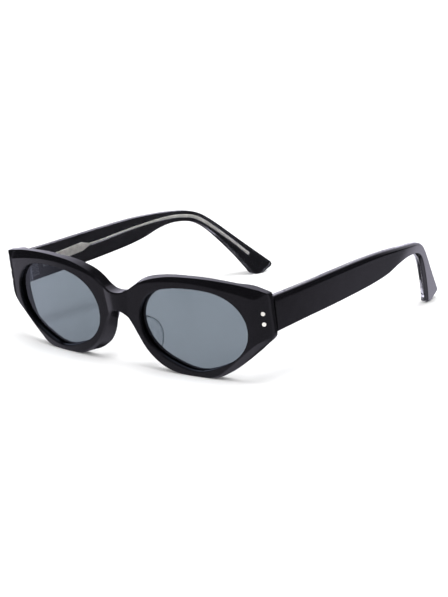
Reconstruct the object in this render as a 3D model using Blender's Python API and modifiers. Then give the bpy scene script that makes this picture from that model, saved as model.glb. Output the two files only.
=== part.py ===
"""Cat eye sunglasses: solid front, tinted lenses, hinged laminated temples with core wires.

World frame, metres: +X is the wearer's left, the lenses face -Y, +Z is up.
The glasses stand on the floor z = 0 with both temples open.  x = 0 is the middle.
All working dimensions below are in millimetres.
"""
import math

import bmesh
import bpy
from mathutils import Matrix, Vector

MM = 0.001
EMPTY_SIZE = 0.01
FAR = 100.0               # mm, larger than the object
WELD = 0.0005             # mm

# ---- driving dimensions, mm -------------------------------------------------
WRAP = 0.00144            # front curve: y = WRAP * x^2
TILT = math.radians(4.4)  # the front leans forward at the top
FRONT_HEIGHT = 19.24      # height of the lens centre line above the floor
MIDDLE_Y = 69.57          # the origin is this far behind the face, halfway along the glasses
FRONT_THICKNESS = 4.4     # whole front, away from the end pieces
EDGE_RATIO = 0.8          # depth of an edge facet divided by its width
BACK_BEVEL = 0.4

END_START = 63.3          # from here outwards the front surface turns back
END_WIDTH = 71.5          # half width of the front
END_DROP = 3.0            # how far the front surface has turned back at the end
END_POWER = 1.8
BLOCK_START = 56.0        # the back of the end piece swells between these two
BLOCK_FULL = 64.8
SWELL_DEPTH = 3.6         # the swelling leaves everything in front of this depth alone
BUTT_PLANE = 12.2         # flat back of the end piece
BUTT_GAP = 0.15           # between end piece and temple

BRIDGE_BULGE = 1.0        # the bridge swells forward by this
CREASE_TOP = (6.4, 11.4)      # x and z of the bridge crease, upper end
CREASE_BOTTOM = (5.2, 2.1)    # and lower end

LENS_CENTRE = 36.52
LENS_DROP = 0.13          # the lens centre lies this far under the front's centre line
LENS_RADIUS = 20.36
LENS_HARMONICS = ((2, 4.49, 0.28), (3, -0.03, 0.64), (4, 0.68, 0.07))
OPENING_CHAMFER = 0.5
OPENING_BACK_CHAMFER = 0.15
GROOVE_DEPTH = 0.7
LENS_ENGAGEMENT = 0.5
LENS_FRONT = 1.7
LENS_BACK = 3.3
LENS_BEVEL = 0.3
LENS_STRIPS = 12
GROOVE_CLEARANCE = 0.15
OUTLINE_STEP = 3.0        # spacing of the points along the front's outline
SIDE_STEP = 4.0           # and along the outlines of the temple and its wire
LENS_POINTS = 56
STRIP = 4.0               # the front is bent in strips of this width
FIRST_STRIP = 9.0
BRIDGE_CUTS = (0.0, 1.4, 2.7, 3.9, 7.4)     # closer strips across the swollen bridge
END_CUTS = (64.1, 66.0, 67.2, 68.4, 69.5, 70.5)     # and across the turned-back ends

RIVET_X = 68.7
RIVET_HEIGHTS = {"upper": 8.4, "lower": 4.3}
RIVET_HEAD_RADIUS = 0.8
RIVET_HEAD_DEPTH = 0.5
RIVET_DOME = 0.16
RIVET_SHAFT_RADIUS = 0.55
RIVET_CLEARANCE = 0.04
RIVET_SETBACK = 0.15      # the rivet stops this far inside the back of the end piece
RIVET_SEGMENTS = 16
RIVET_DOME_STEPS = 4
CUTTER_REACH = 2.0        # how far a cutter runs past the surface it opens

HINGE_X = 64.9
HINGE_Y = 13.9            # in the front's own frame
HINGE_Z = 6.4
BARREL_RADIUS = 1.5
BARREL_HEIGHT = 1.52
BARREL_STEP = 1.62
PIN_HOLE_RADIUS = 0.75
SCREW_RADIUS = 0.70
LEAF_HALF_HEIGHT = 4.4
LEAF_THICKNESS = 0.8
LEAF_START = 0.4          # from the hinge axis outwards
LEAF_END = 5.2
LEAF_SETBACK = 0.05       # plate behind the end piece's back face
LEAF_CLEARANCE = 0.05
TEMPLE_LEAF_START = 0.5   # behind the temple's front face
TEMPLE_LEAF_LENGTH = 9.0
TEMPLE_LEAF_TRIM = 0.2
TEMPLE_LEAF_SUNK = 0.7
TEMPLE_LEAF_PROUD = 0.2
BORE_LENGTH = 12.0
BARREL_SEGMENTS = 24
WEB_INSET = 0.1           # the front knuckles' webs start this far inside their plate
WEB_HALF = 0.9            # half thickness of the temple knuckles' webs
SCREW_HEAD_RADIUS = 1.15
SCREW_HEAD_TOP_RADIUS = 0.9
SCREW_HEAD_HEIGHT = 0.6
SCREW_HEAD_GAP = 0.05
SCREW_SLOT_WIDTH = 0.3
SCREW_SLOT_DEPTH = 0.25

TEMPLE_OUTER_X = 71.7     # outer face of the temple at the end piece
TEMPLE_TAPER = 0.0417     # the temples close in towards the ears
TEMPLE_THICKNESS = 3.8
TEMPLE_OUTER_LAYER = 1.9
BOND_GAP = 0.05           # gap kept between two bonded layers
TEMPLE_FRONT_Y = 11.8
TEMPLE_FACET_DEPTH = 1.1  # depth of the facet round the outer face
TEMPLE_FACET_SWELL = 0.45
TEMPLE_ROUND = 0.5        # rounding of the inner face's edges, in two facets
TEMPLE_ROUND_SHARE = 0.3
TEMPLE_BEND = (106.5, 30.5)
TEMPLE_DROP = math.radians(42.1)
TIP_INSET_SLOPE = 0.385    # the dropping tip closes in this much per mm of its length
TIP_RAMP_CENTRE = -7.0    # along the drop, from the bend point
TIP_RAMP_HALF = 9.0
TEMPLE_STRAIGHT_CUTS = (30, 50, 70, 90)
TEMPLE_DROP_CUTS = (-15.0, -12.0, -9.0, -6.0, -3.0, 0.0, 3.0)

WIRE_THICKNESS = 0.9
WIRE_CLEARANCE = 0.12
WIRE_COVER = 0.1          # gap between the wire and the floor of its channel
WIRE_BED = 0.03           # gap between the wire and the outer layer

# outline of the front, one half: x, z, front facet width, extra width of the back
FRONT_OUTLINE = (
    (0.0, 10.4, 0.5, 0.0), (3.0, 10.7, 0.5, 0.0), (6.3, 12.0, 0.5, 0.4), (9.2, 13.8, 0.5, 0.8),
    (11.8, 15.3, 0.6, 0.9), (14.8, 16.6, 1.0, 0.9), (19.6, 18.0, 1.4, 0.7), (26.5, 19.3, 1.75, 0.3),
    (35.0, 19.9, 1.8, 0.0), (44.0, 19.85, 2.1, 0.0), (52.0, 19.3, 2.5, 0.0), (60.0, 18.35, 2.9, 0.0),
    (66.9, 17.0, 3.1, 0.0), (70.2, 16.3, 0.6, 0.0), (70.85, 16.0, 0.5, 0.0), (71.1, 15.3, 0.5, 0.0),
    (71.4, 7.0, 0.5, 0.0), (71.5, 0.3, 0.5, 0.0), (71.3, -0.7, 0.5, 0.0), (70.7, -1.5, 0.7, 0.0),
    (66.7, -4.8, 1.8, 0.0), (62.4, -8.35, 2.0, 0.0), (57.9, -12.05, 2.0, 0.0), (54.1, -14.85, 1.8, 0.0),
    (50.4, -17.15, 1.4, 0.0), (47.1, -18.6, 0.8, 0.0), (43.3, -19.35, 0.5, 0.0), (38.0, -19.55, 0.5, 0.0),
    (32.0, -19.45, 0.5, 0.0), (26.5, -19.0, 0.6, 0.0), (21.4, -17.7, 0.8, 0.3), (17.8, -16.0, 1.0, 0.9),
    (14.4, -13.5, 1.0, 1.6), (11.7, -10.6, 1.0, 2.4), (9.9, -7.9, 1.0, 2.7), (8.2, -5.1, 1.0, 2.5),
    (6.8, -2.5, 0.9, 2.0), (5.5, -0.4, 0.7, 1.3), (4.2, 1.25, 0.5, 0.6), (2.2, 2.5, 0.5, 0.2),
    (0.0, 2.9, 0.5, 0.0),
)

# side outline of the temple: world y, z and facet width on the outer face
TEMPLE_TOP = (
    (7.0, 34.3, 1.6), (30.0, 34.6, 1.5), (50.0, 35.1, 1.4), (68.0, 35.45, 1.3),
    (80.0, 35.3, 1.1), (90.0, 34.7, 0.9), (100.0, 33.8, 0.8), (106.0, 33.0, 0.7),
    (110.0, 31.9, 0.6), (113.0, 30.4, 0.6), (116.4, 27.8, 0.6), (120.4, 24.1, 0.6),
    (126.3, 18.2, 0.6), (132.3, 12.3, 0.6), (139.3, 5.5, 0.6), (140.7, 4.1, 0.6),
    (140.9, 3.1, 0.6), (140.2, 2.2, 0.6),
)
TEMPLE_BOTTOM = (
    (137.6, 1.1, 0.5), (135.6, 0.0, 0.4), (132.4, 0.0, 0.4), (131.0, 0.5, 0.4), (130.1, 2.0, 0.4),
    (126.8, 7.5, 0.4), (123.2, 12.8, 0.4), (119.6, 17.6, 0.4), (116.0, 22.0, 0.4),
    (112.0, 25.7, 0.4), (107.5, 27.9, 0.4), (102.3, 28.9, 0.3), (97.0, 29.0, 0.3),
    (90.0, 27.8, 0.3), (83.0, 25.9, 0.3), (75.0, 24.6, 0.3), (62.0, 23.4, 0.3),
    (45.0, 22.3, 0.3), (28.0, 21.5, 0.3), (7.0, 20.35, 0.3),
)

# centre line of the core wire in side view: world y, z and half height
WIRE_PATH = (
    (24.5, 27.3, 2.0), (47.0, 29.4, 2.0), (51.2, 29.55, 0.5), (58.0, 29.9, 0.42),
    (70.0, 30.8, 0.42), (82.0, 31.3, 0.5), (94.0, 31.5, 0.65), (102.0, 31.2, 0.8),
    (106.0, 30.6, 0.85), (109.5, 29.7, 0.85), (113.5, 27.3, 0.85), (117.4, 23.9, 0.8),
    (121.3, 20.1, 0.75), (126.0, 15.2, 0.7), (131.6, 9.0, 0.7),
)
SHOE_GROOVES = 4
SHOE_GROOVE_WIDTH = 0.22
SHOE_GROOVE_DEPTH = 0.2
SHOE_GROOVE_PITCH = 0.8
SHOE_GROOVE_LENGTH = 30.0
SHOE_GROOVE_END = 22.0    # the ribs stop short of the shoe's point

# nose pad: stations along the nose cut-out (x, z) on the back of the front
PAD_PATH = ((4.9, 0.2), (6.1, -2.1), (7.6, -4.8), (9.5, -7.8), (12.0, -11.0), (14.8, -13.4))
PAD_REACH = 6.3
PAD_FULLNESS = 0.7        # the lower, the fuller the pad's two ends
PAD_BASE = 3.0
PAD_FLARE = 0.32
PAD_GAP = 0.08
PAD_STEP = 1.2
PAD_SECTION = (           # across the base and back along the reach, both as shares
    (-1.0, 0.0), (-1.0, 0.45), (-0.85, 0.8), (-0.4, 1.0),
    (0.3, 1.0), (0.75, 0.8), (0.95, 0.45), (1.0, 0.0),
)
PAD_NARROWING = 0.45      # the section narrows by this share towards its back
PAD_END_WIDTH = 0.55      # width left at the pad's two ends

# local X and Y of a flat plate go to these world axes, its thickness to the third
DEPTH_ALONG_Y = Matrix(((1, 0, 0, 0), (0, 0, 1, 0), (0, 1, 0, 0), (0, 0, 0, 1)))
DEPTH_ALONG_X = Matrix(((0, 0, 1, 0), (1, 0, 0, 0), (0, 1, 0, 0), (0, 0, 0, 1)))

# material: name, colour, roughness, metallic
ACETATE = ("acetate_black", (0.012, 0.012, 0.014, 1.0), 0.12, 0.0)
CRYSTAL = ("acetate_crystal", (0.82, 0.85, 0.86, 0.35), 0.08, 0.0)
TINT = ("lens_tint", (0.16, 0.2, 0.24, 0.6), 0.04, 0.0)
STEEL = ("nickel_silver", (0.72, 0.71, 0.69, 1.0), 0.25, 1.0)


# ---- scene helpers ----------------------------------------------------------
def clear_scene():
    for obj in list(bpy.data.objects):
        bpy.data.objects.remove(obj, do_unlink=True)


def new_collection(name):
    collection = bpy.data.collections.new(name)
    bpy.context.scene.collection.children.link(collection)
    return collection


def material(spec):
    name, colour, roughness, metallic = spec
    found = bpy.data.materials.get(name)
    if found:
        return found
    made = bpy.data.materials.new(name)
    made.use_nodes = True
    shader = made.node_tree.nodes["Principled BSDF"]
    shader.inputs["Base Color"].default_value = colour
    shader.inputs["Roughness"].default_value = roughness
    shader.inputs["Metallic"].default_value = metallic
    shader.inputs["Alpha"].default_value = colour[3]
    made.diffuse_color = colour
    return made


def object_from(bm, name):
    mesh = bpy.data.meshes.new(name)
    bm.to_mesh(mesh)
    bm.free()
    obj = bpy.data.objects.new(name, mesh)
    PARTS.objects.link(obj)
    return obj


def applied(obj):
    """Replace the object's mesh by the result of its modifiers."""
    bpy.context.view_layer.update()
    graph = bpy.context.evaluated_depsgraph_get()
    result = bpy.data.meshes.new_from_object(obj.evaluated_get(graph))
    obj.modifiers.clear()
    obj.data = result
    return obj


def boolean(target, tool, operation):
    """Apply a boolean to target and remove the tool."""
    modifier = target.modifiers.new("cut", "BOOLEAN")
    modifier.operation = operation
    modifier.solver = "EXACT"
    modifier.object = tool
    applied(target)
    bpy.data.objects.remove(tool, do_unlink=True)
    return target


def edit(obj, action):
    bm = bmesh.new()
    bm.from_mesh(obj.data)
    action(bm)
    bm.to_mesh(obj.data)
    bm.free()
    obj.data.update()


def tidy(obj):
    """Weld, triangulate and turn the faces outwards."""
    def action(bm):
        bmesh.ops.remove_doubles(bm, verts=bm.verts, dist=WELD)
        bmesh.ops.dissolve_degenerate(bm, dist=WELD, edges=bm.edges)
        bmesh.ops.triangulate(bm, faces=bm.faces)
        bmesh.ops.recalc_face_normals(bm, faces=bm.faces)
    edit(obj, action)


# ---- outline helpers --------------------------------------------------------
def spline_point(p0, p1, p2, p3, t):
    """Centripetal Catmull-Rom through p1 and p2, on x and y; the rest is linear."""
    def gap(a, b):
        return max(math.sqrt(math.hypot(b[0] - a[0], b[1] - a[1])), 1e-4)
    t1 = gap(p0, p1)
    t2 = t1 + gap(p1, p2)
    t3 = t2 + gap(p2, p3)
    s = t1 + t * (t2 - t1)
    values = []
    for i in range(2):
        a1 = (t1 - s) / t1 * p0[i] + s / t1 * p1[i]
        a2 = (t2 - s) / (t2 - t1) * p1[i] + (s - t1) / (t2 - t1) * p2[i]
        a3 = (t3 - s) / (t3 - t2) * p2[i] + (s - t2) / (t3 - t2) * p3[i]
        b1 = (t2 - s) / t2 * a1 + s / t2 * a2
        b2 = (t3 - s) / (t3 - t1) * a2 + (s - t1) / (t3 - t1) * a3
        values.append((t2 - s) / (t2 - t1) * b1 + (s - t1) / (t2 - t1) * b2)
    for i in range(2, len(p1)):
        values.append(p1[i] + t * (p2[i] - p1[i]))
    return tuple(values)


def reflected(end, inner):
    return (2 * end[0] - inner[0], 2 * end[1] - inner[1]) + tuple(end[2:])


def smooth_run(points, step, before=None, after=None):
    """Sample a smooth run through the points, leaving out its last point."""
    points = [before or reflected(points[0], points[1])] + list(points)
    points.append(after or reflected(points[-1], points[-2]))
    samples = []
    for i in range(1, len(points) - 2):
        length = math.hypot(points[i + 1][0] - points[i][0], points[i + 1][1] - points[i][1])
        count = max(1, round(length / step))
        for j in range(count):
            samples.append(spline_point(*points[i - 1:i + 3], j / count))
    return samples


def side_normals(outline):
    """Unit vectors that point out of a closed outline running clockwise in x, z."""
    normals = []
    count = len(outline)
    for i in range(count):
        ax, az = outline[i - 1][:2]
        bx, bz = outline[(i + 1) % count][:2]
        length = math.hypot(bx - ax, bz - az)
        normals.append((-(bz - az) / length, (bx - ax) / length))
    return normals


def loft(name, rings):
    """Closed solid through equal rings of 3-D points, with flat end caps."""
    bm = bmesh.new()
    rows = [[bm.verts.new(p) for p in ring] for ring in rings]
    count = len(rings[0])
    for lower, upper in zip(rows[:-1], rows[1:]):
        for i in range(count):
            j = (i + 1) % count
            bm.faces.new((lower[i], lower[j], upper[j], upper[i]))
    bm.faces.new(list(reversed(rows[0])))
    bm.faces.new(rows[-1])
    bmesh.ops.recalc_face_normals(bm, faces=bm.faces)
    return object_from(bm, name)


def slice_at(obj, planes):
    """Add edge loops where the planes (point, normal) cross the mesh."""
    def action(bm):
        for point, normal in planes:
            geometry = list(bm.verts) + list(bm.edges) + list(bm.faces)
            bmesh.ops.bisect_plane(bm, geom=geometry, dist=WELD, plane_co=point, plane_no=normal)
    edit(obj, action)


def turned(name, profile, segments):
    """Solid turned about local Z; the profile's (radius, level) points run from top to bottom."""
    bm = bmesh.new()
    points = [bm.verts.new((radius, 0.0, level)) for radius, level in profile]
    for upper, lower in zip(points[:-1], points[1:]):
        bm.edges.new((upper, lower))
    obj = object_from(bm, name)
    turn = obj.modifiers.new("turn", "SCREW")
    turn.axis = "Z"
    turn.steps = segments
    turn.render_steps = segments
    turn.use_merge_vertices = True
    turn.merge_threshold = 0.0001
    applied(obj)
    tidy(obj)
    return obj


def plate(name, outline, low, high, axes):
    """Flat sheet cut to a 2-D outline, between two levels of its third local axis."""
    curve = bpy.data.curves.new(name, "CURVE")
    curve.dimensions = "2D"
    curve.fill_mode = "BOTH"
    curve.extrude = (high - low) / 2
    spline = curve.splines.new("POLY")
    spline.points.add(len(outline) - 1)
    for point, place in zip(spline.points, outline):
        point.co = (place[0], place[1], 0.0, 1.0)
    spline.use_cyclic_u = True
    sheet = bpy.data.objects.new(name + "_curve", curve)
    PARTS.objects.link(sheet)
    bpy.context.view_layer.update()
    graph = bpy.context.evaluated_depsgraph_get()
    mesh = bpy.data.meshes.new_from_object(sheet.evaluated_get(graph))
    bpy.data.objects.remove(sheet, do_unlink=True)
    mesh.transform(axes @ Matrix.Translation((0, 0, (low + high) / 2)))
    obj = bpy.data.objects.new(name, mesh)
    PARTS.objects.link(obj)
    tidy(obj)
    return obj


def box(name, low, high):
    bm = bmesh.new()
    bmesh.ops.create_cube(bm, size=1.0)
    size = [high[i] - low[i] for i in range(3)]
    middle = [(high[i] + low[i]) / 2 for i in range(3)]
    bmesh.ops.scale(bm, vec=size, verts=bm.verts)
    bmesh.ops.translate(bm, vec=middle, verts=bm.verts)
    return object_from(bm, name)


def cylinder(name, radius, depth, matrix):
    """Cylinder along local Z, centred, then placed by the matrix."""
    bm = bmesh.new()
    bmesh.ops.create_cone(
        bm, cap_ends=True, segments=BARREL_SEGMENTS, radius1=radius, radius2=radius,
        depth=depth, matrix=matrix)
    return object_from(bm, name)


# ---- front shape ------------------------------------------------------------
def crease_x(z):
    """Half width of the swollen bridge at height z."""
    share = (z - CREASE_BOTTOM[1]) / (CREASE_TOP[1] - CREASE_BOTTOM[1])
    return CREASE_BOTTOM[0] + share * (CREASE_TOP[0] - CREASE_BOTTOM[0])


def front_recess(x, z):
    """How far the front surface lies behind the plain wrap curve."""
    side = abs(x)
    if side > END_START:
        share = (side - END_START) / (END_WIDTH - END_START)
        return END_DROP * share ** END_POWER
    limit = crease_x(z)
    if side < limit:
        return -BRIDGE_BULGE * (1.0 - (side / limit) ** 2)
    return 0.0


def back_swell(x):
    """How much further back the end piece reaches, up to its flat back."""
    side = abs(x)
    if side < BLOCK_START:
        return 0.0
    block = BUTT_PLANE - WRAP * side * side - FRONT_THICKNESS
    share = min(1.0, (side - BLOCK_START) / (BLOCK_FULL - BLOCK_START))
    return block * share * share * (3.0 - 2.0 * share)


def wrap_point(x, depth, z):
    """Bend a point of the flat sheet (depth behind the front face) to its place."""
    recess = front_recess(x, z)
    plain = recess + depth / FRONT_THICKNESS * (FRONT_THICKNESS - recess)
    share = max(0.0, depth - SWELL_DEPTH) / (FRONT_THICKNESS - SWELL_DEPTH)
    return Vector((x, WRAP * x * x + plain + share * back_swell(x), z))


def wrap_mesh(obj):
    for vertex in obj.data.vertices:
        vertex.co = wrap_point(vertex.co.x, vertex.co.y, vertex.co.z)
    obj.data.update()


def full_front_outline():
    mirrored = [(-p[0],) + p[1:] for p in FRONT_OUTLINE]
    half = smooth_run(FRONT_OUTLINE, OUTLINE_STEP, before=mirrored[1], after=mirrored[-2])
    half.append(FRONT_OUTLINE[-1])
    other = [(-p[0],) + p[1:] for p in reversed(half[1:-1])]
    return half + other


def face_ring(outline):
    """The flat front face: the outline drawn in by the width of its facets."""
    ring = []
    for point, normal in zip(outline, side_normals(outline)):
        ring.append((point[0] - normal[0] * point[2], 0.0, point[1] - normal[1] * point[2]))
    return ring


def facet_ring(outline):
    """The ring where the front facets end: each point lies at its own depth."""
    ring = []
    for point, normal in zip(outline, side_normals(outline)):
        depth = point[2] * EDGE_RATIO
        move = point[3] * depth / FRONT_THICKNESS
        ring.append((point[0] + normal[0] * move, depth, point[1] + normal[1] * move))
    return ring


def uniform_inset_ring(outline, depth, inset):
    ring = []
    for point, normal in zip(outline, side_normals(outline)):
        move = point[3] * depth / FRONT_THICKNESS - inset
        ring.append((point[0] + normal[0] * move, depth, point[1] + normal[1] * move))
    return ring


def lens_outline(offset):
    """Closed lens curve in x, z, grown outwards by the offset."""
    points = []
    for i in range(LENS_POINTS):
        angle = 2 * math.pi * i / LENS_POINTS
        radius = LENS_RADIUS
        for order, cosine, sine in LENS_HARMONICS:
            radius += cosine * math.cos(order * angle) + sine * math.sin(order * angle)
        points.append((LENS_CENTRE + radius * math.cos(angle), radius * math.sin(angle) - LENS_DROP))
    grown = []
    for point, normal in zip(points, side_normals(points)):
        grown.append((point[0] - normal[0] * offset, point[1] - normal[1] * offset))
    return grown


def lens_prism(name, side, stations):
    """Solid with the lens shape; stations are (depth, growth) pairs."""
    rings = []
    for depth, growth in stations:
        rings.append([(side * x, depth, z) for x, z in lens_outline(growth)])
    return loft(name, rings)


def front_slices():
    """Cuts across the front, so that its mesh can follow the wrap, the bridge and the ends."""
    strips = [FIRST_STRIP + STRIP * i for i in range(int((END_START - FIRST_STRIP) / STRIP) + 1)]
    planes = strips + [BLOCK_FULL] + list(END_CUTS) + list(BRIDGE_CUTS)
    cuts = [((x, 0, 0), (1, 0, 0)) for x in planes]
    cuts += [((-x, 0, 0), (1, 0, 0)) for x in planes if x > 0]
    run = CREASE_TOP[0] - CREASE_BOTTOM[0]
    rise = CREASE_TOP[1] - CREASE_BOTTOM[1]
    for side in (1, -1):
        normal = Vector((rise, 0, -side * run)).normalized()
        cuts.append(((side * CREASE_TOP[0], 0, CREASE_TOP[1]), normal))
    return cuts


def rivet_matrix(side, height):
    """Origin on the front surface, local +Z pointing out of the surface."""
    step = 0.05
    here = wrap_point(RIVET_X, 0.0, height)
    there = wrap_point(RIVET_X + step, 0.0, height)
    along = (there - here).normalized()
    outward = Vector((along.y, -along.x, 0.0))
    here = Vector((side * here.x, here.y, here.z))
    outward = Vector((side * outward.x, outward.y, 0.0))
    rotation = outward.to_track_quat("Z", "Y").to_matrix().to_4x4()
    return Matrix.Translation(here) @ rotation


def rivet_length(side, height):
    """From the front surface to just inside the back of the hinge plate."""
    matrix = rivet_matrix(side, height)
    direction = -(matrix.to_3x3() @ Vector((0, 0, 1)))
    return (BUTT_PLANE - RIVET_SETBACK - matrix.translation.y) / direction.y


def placed(obj, matrix):
    obj.data.transform(matrix)
    return obj


def rivet_solid(name, side, height):
    """Rivet with its domed head let into the front surface."""
    profile = []
    for i in range(RIVET_DOME_STEPS + 1):
        angle = math.pi / 2 * (1 - i / RIVET_DOME_STEPS)
        profile.append((RIVET_HEAD_RADIUS * math.cos(angle), RIVET_DOME * math.sin(angle)))
    bottom = -rivet_length(side, height)
    profile += [(RIVET_HEAD_RADIUS, -RIVET_HEAD_DEPTH), (RIVET_SHAFT_RADIUS, -RIVET_HEAD_DEPTH)]
    profile += [(RIVET_SHAFT_RADIUS, bottom), (0.0, bottom)]
    return placed(turned(name, profile, RIVET_SEGMENTS), rivet_matrix(side, height))


def rivet_hole(side, height):
    """Cutter for the stepped hole that takes the rivet."""
    head = RIVET_HEAD_RADIUS + RIVET_CLEARANCE
    shaft = RIVET_SHAFT_RADIUS + RIVET_CLEARANCE
    shelf = -RIVET_HEAD_DEPTH - RIVET_CLEARANCE
    bottom = -rivet_length(side, height) - CUTTER_REACH
    profile = [(0.0, CUTTER_REACH), (head, CUTTER_REACH), (head, shelf), (shaft, shelf)]
    profile += [(shaft, bottom), (0.0, bottom)]
    return placed(turned("rivet_hole", profile, RIVET_SEGMENTS), rivet_matrix(side, height))


def mirrored_copy(obj, name):
    mesh = obj.data.copy()
    mesh.transform(Matrix.Scale(-1, 4, (1, 0, 0)))
    mesh.flip_normals()
    made = bpy.data.objects.new(name, mesh)
    PARTS.objects.link(made)
    return made


def leaf_box(name, clearance, back):
    """Block of the left front hinge plate, grown by the clearance and run back to a depth."""
    low = (HINGE_X + LEAF_START - clearance, BUTT_PLANE - LEAF_SETBACK - LEAF_THICKNESS - clearance,
           HINGE_Z - LEAF_HALF_HEIGHT - clearance)
    high = (HINGE_X + LEAF_END + clearance, back, HINGE_Z + LEAF_HALF_HEIGHT + clearance)
    return box(name, low, high)


def leaf_pocket(side):
    """Cutter for the pocket in the back of the end piece."""
    cutter = leaf_box("leaf_pocket", LEAF_CLEARANCE, BUTT_PLANE + CUTTER_REACH)
    if side < 0:
        cutter.data.transform(Matrix.Scale(-1, 4, (1, 0, 0)))
        cutter.data.flip_normals()
    return cutter


def floor_cutter():
    """Everything below the floor, in the front's own frame."""
    cutter = box("floor_cutter", (-FAR, -FAR, -FAR), (FAR, FAR, 0))
    matrix = Matrix.Rotation(-TILT, 4, "X") @ Matrix.Translation((0, 0, -FRONT_HEIGHT))
    cutter.data.transform(matrix)
    return cutter


def build_front(name):
    """The whole front: faceted outer edge, two lens openings with grooves, hinge pockets."""
    edge = full_front_outline()
    front = loft(name, [
        face_ring(edge),
        facet_ring(edge),
        uniform_inset_ring(edge, FRONT_THICKNESS - BACK_BEVEL, 0.0),
        uniform_inset_ring(edge, FRONT_THICKNESS, BACK_BEVEL),
    ])
    for side in (1, -1):
        through = lens_prism("through", side, [
            (-CUTTER_REACH, CUTTER_REACH + OPENING_CHAMFER),
            (OPENING_CHAMFER, 0.0),
            (FRONT_THICKNESS - OPENING_BACK_CHAMFER, 0.0),
            (FRONT_THICKNESS + CUTTER_REACH, CUTTER_REACH + OPENING_BACK_CHAMFER),
        ])
        boolean(front, through, "DIFFERENCE")
        outline = [(side * x, z) for x, z in lens_outline(GROOVE_DEPTH)]
        groove = plate("groove", outline, LENS_FRONT - GROOVE_CLEARANCE,
                       LENS_BACK + GROOVE_CLEARANCE, DEPTH_ALONG_Y)
        boolean(front, groove, "DIFFERENCE")
    slice_at(front, front_slices())
    tidy(front)
    wrap_mesh(front)
    boolean(front, floor_cutter(), "DIFFERENCE")
    for side in (1, -1):
        boolean(front, leaf_pocket(side), "DIFFERENCE")
        for height in RIVET_HEIGHTS.values():
            boolean(front, rivet_hole(side, height), "DIFFERENCE")
    tidy(front)
    return front


def build_lens(name, side):
    lens = lens_prism(name, side, [
        (LENS_FRONT, LENS_ENGAGEMENT - LENS_BEVEL),
        (LENS_FRONT + LENS_BEVEL, LENS_ENGAGEMENT),
        (LENS_BACK - LENS_BEVEL, LENS_ENGAGEMENT),
        (LENS_BACK, LENS_ENGAGEMENT - LENS_BEVEL),
    ])
    planes = [LENS_CENTRE + STRIP * (i - LENS_STRIPS / 2) for i in range(LENS_STRIPS + 1)]
    slice_at(lens, [((side * x, 0, 0), (1, 0, 0)) for x in planes])
    tidy(lens)
    wrap_mesh(lens)
    return lens


def build_nose_pad(name):
    """Left pad: a fin along the nose cut-out that reaches back and flares out."""
    path = smooth_run(PAD_PATH, PAD_STEP)
    path.append(PAD_PATH[-1])
    count = len(path)
    rings = []
    for i, (x, z) in enumerate(path):
        ahead = path[min(i + 1, count - 1)]
        behind = path[max(i - 1, 0)]
        length = math.hypot(ahead[0] - behind[0], ahead[1] - behind[1])
        out_x = -(ahead[1] - behind[1]) / length
        out_z = (ahead[0] - behind[0]) / length
        share = (i + 0.5) / count
        swell = math.sin(math.pi * share)
        reach = PAD_REACH * swell ** PAD_FULLNESS
        half = PAD_BASE / 2 * (PAD_END_WIDTH + (1.0 - PAD_END_WIDTH) * swell)
        ring = []
        for across, back in PAD_SECTION:
            offset = half * (1.0 + across * (1.0 - PAD_NARROWING * back)) + PAD_FLARE * reach * back
            depth = FRONT_THICKNESS + PAD_GAP + reach * back
            pad_x = x + out_x * offset
            ring.append((pad_x, WRAP * pad_x * pad_x + depth, z + out_z * offset))
        rings.append(ring)
    pad = loft(name, rings)
    tidy(pad)
    return pad


# ---- hinge ------------------------------------------------------------------
def barrel_levels(indices):
    return [HINGE_Z + (i - 2) * BARREL_STEP for i in indices]


def barrel(name, level, radius, height):
    place = Matrix.Translation((HINGE_X, HINGE_Y, level))
    return cylinder(name, radius, height, place)


def knuckle(level, web_low, web_high):
    """One barrel of the hinge with the web that ties it to its plate; the web spans x and y."""
    half = BARREL_HEIGHT / 2
    web = box("web", web_low + (level - half,), web_high + (level + half,))
    return boolean(barrel("knuckle", level, BARREL_RADIUS, BARREL_HEIGHT), web, "UNION")


def build_front_leaf(name):
    """Plate in the back of the end piece with three knuckles, in the front's frame."""
    leaf = leaf_box(name, 0.0, BUTT_PLANE - LEAF_SETBACK)
    web_low = (HINGE_X + LEAF_START + WEB_INSET, BUTT_PLANE - LEAF_THICKNESS / 2)
    web_high = (HINGE_X + BARREL_RADIUS - 0.05, HINGE_Y)
    for level in barrel_levels((0, 2, 4)):
        boolean(leaf, knuckle(level, web_low, web_high), "UNION")
    boolean(leaf, barrel("bore", HINGE_Z, PIN_HOLE_RADIUS, BORE_LENGTH), "DIFFERENCE")
    for height in RIVET_HEIGHTS.values():
        boolean(leaf, rivet_hole(1, height), "DIFFERENCE")
    tidy(leaf)
    return leaf


def build_temple_leaf(name):
    """Plate on the temple's inner face with two knuckles, in the front's frame."""
    inner_x = TEMPLE_OUTER_X - TEMPLE_THICKNESS
    start = BUTT_PLANE + BUTT_GAP + TEMPLE_LEAF_START
    half = LEAF_HALF_HEIGHT - TEMPLE_LEAF_TRIM
    leaf = box(name, (inner_x - TEMPLE_LEAF_PROUD, start, HINGE_Z - half),
               (inner_x + TEMPLE_LEAF_SUNK, start + TEMPLE_LEAF_LENGTH, HINGE_Z + half))
    leaf_taper(leaf)
    web_low = (HINGE_X, HINGE_Y - WEB_HALF)
    web_high = (inner_x + TEMPLE_LEAF_SUNK / 3, HINGE_Y + BARREL_RADIUS - 0.05)
    for level in barrel_levels((1, 3)):
        boolean(leaf, knuckle(level, web_low, web_high), "UNION")
    boolean(leaf, barrel("bore", HINGE_Z, PIN_HOLE_RADIUS, BORE_LENGTH), "DIFFERENCE")
    tidy(leaf)
    return leaf


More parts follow.
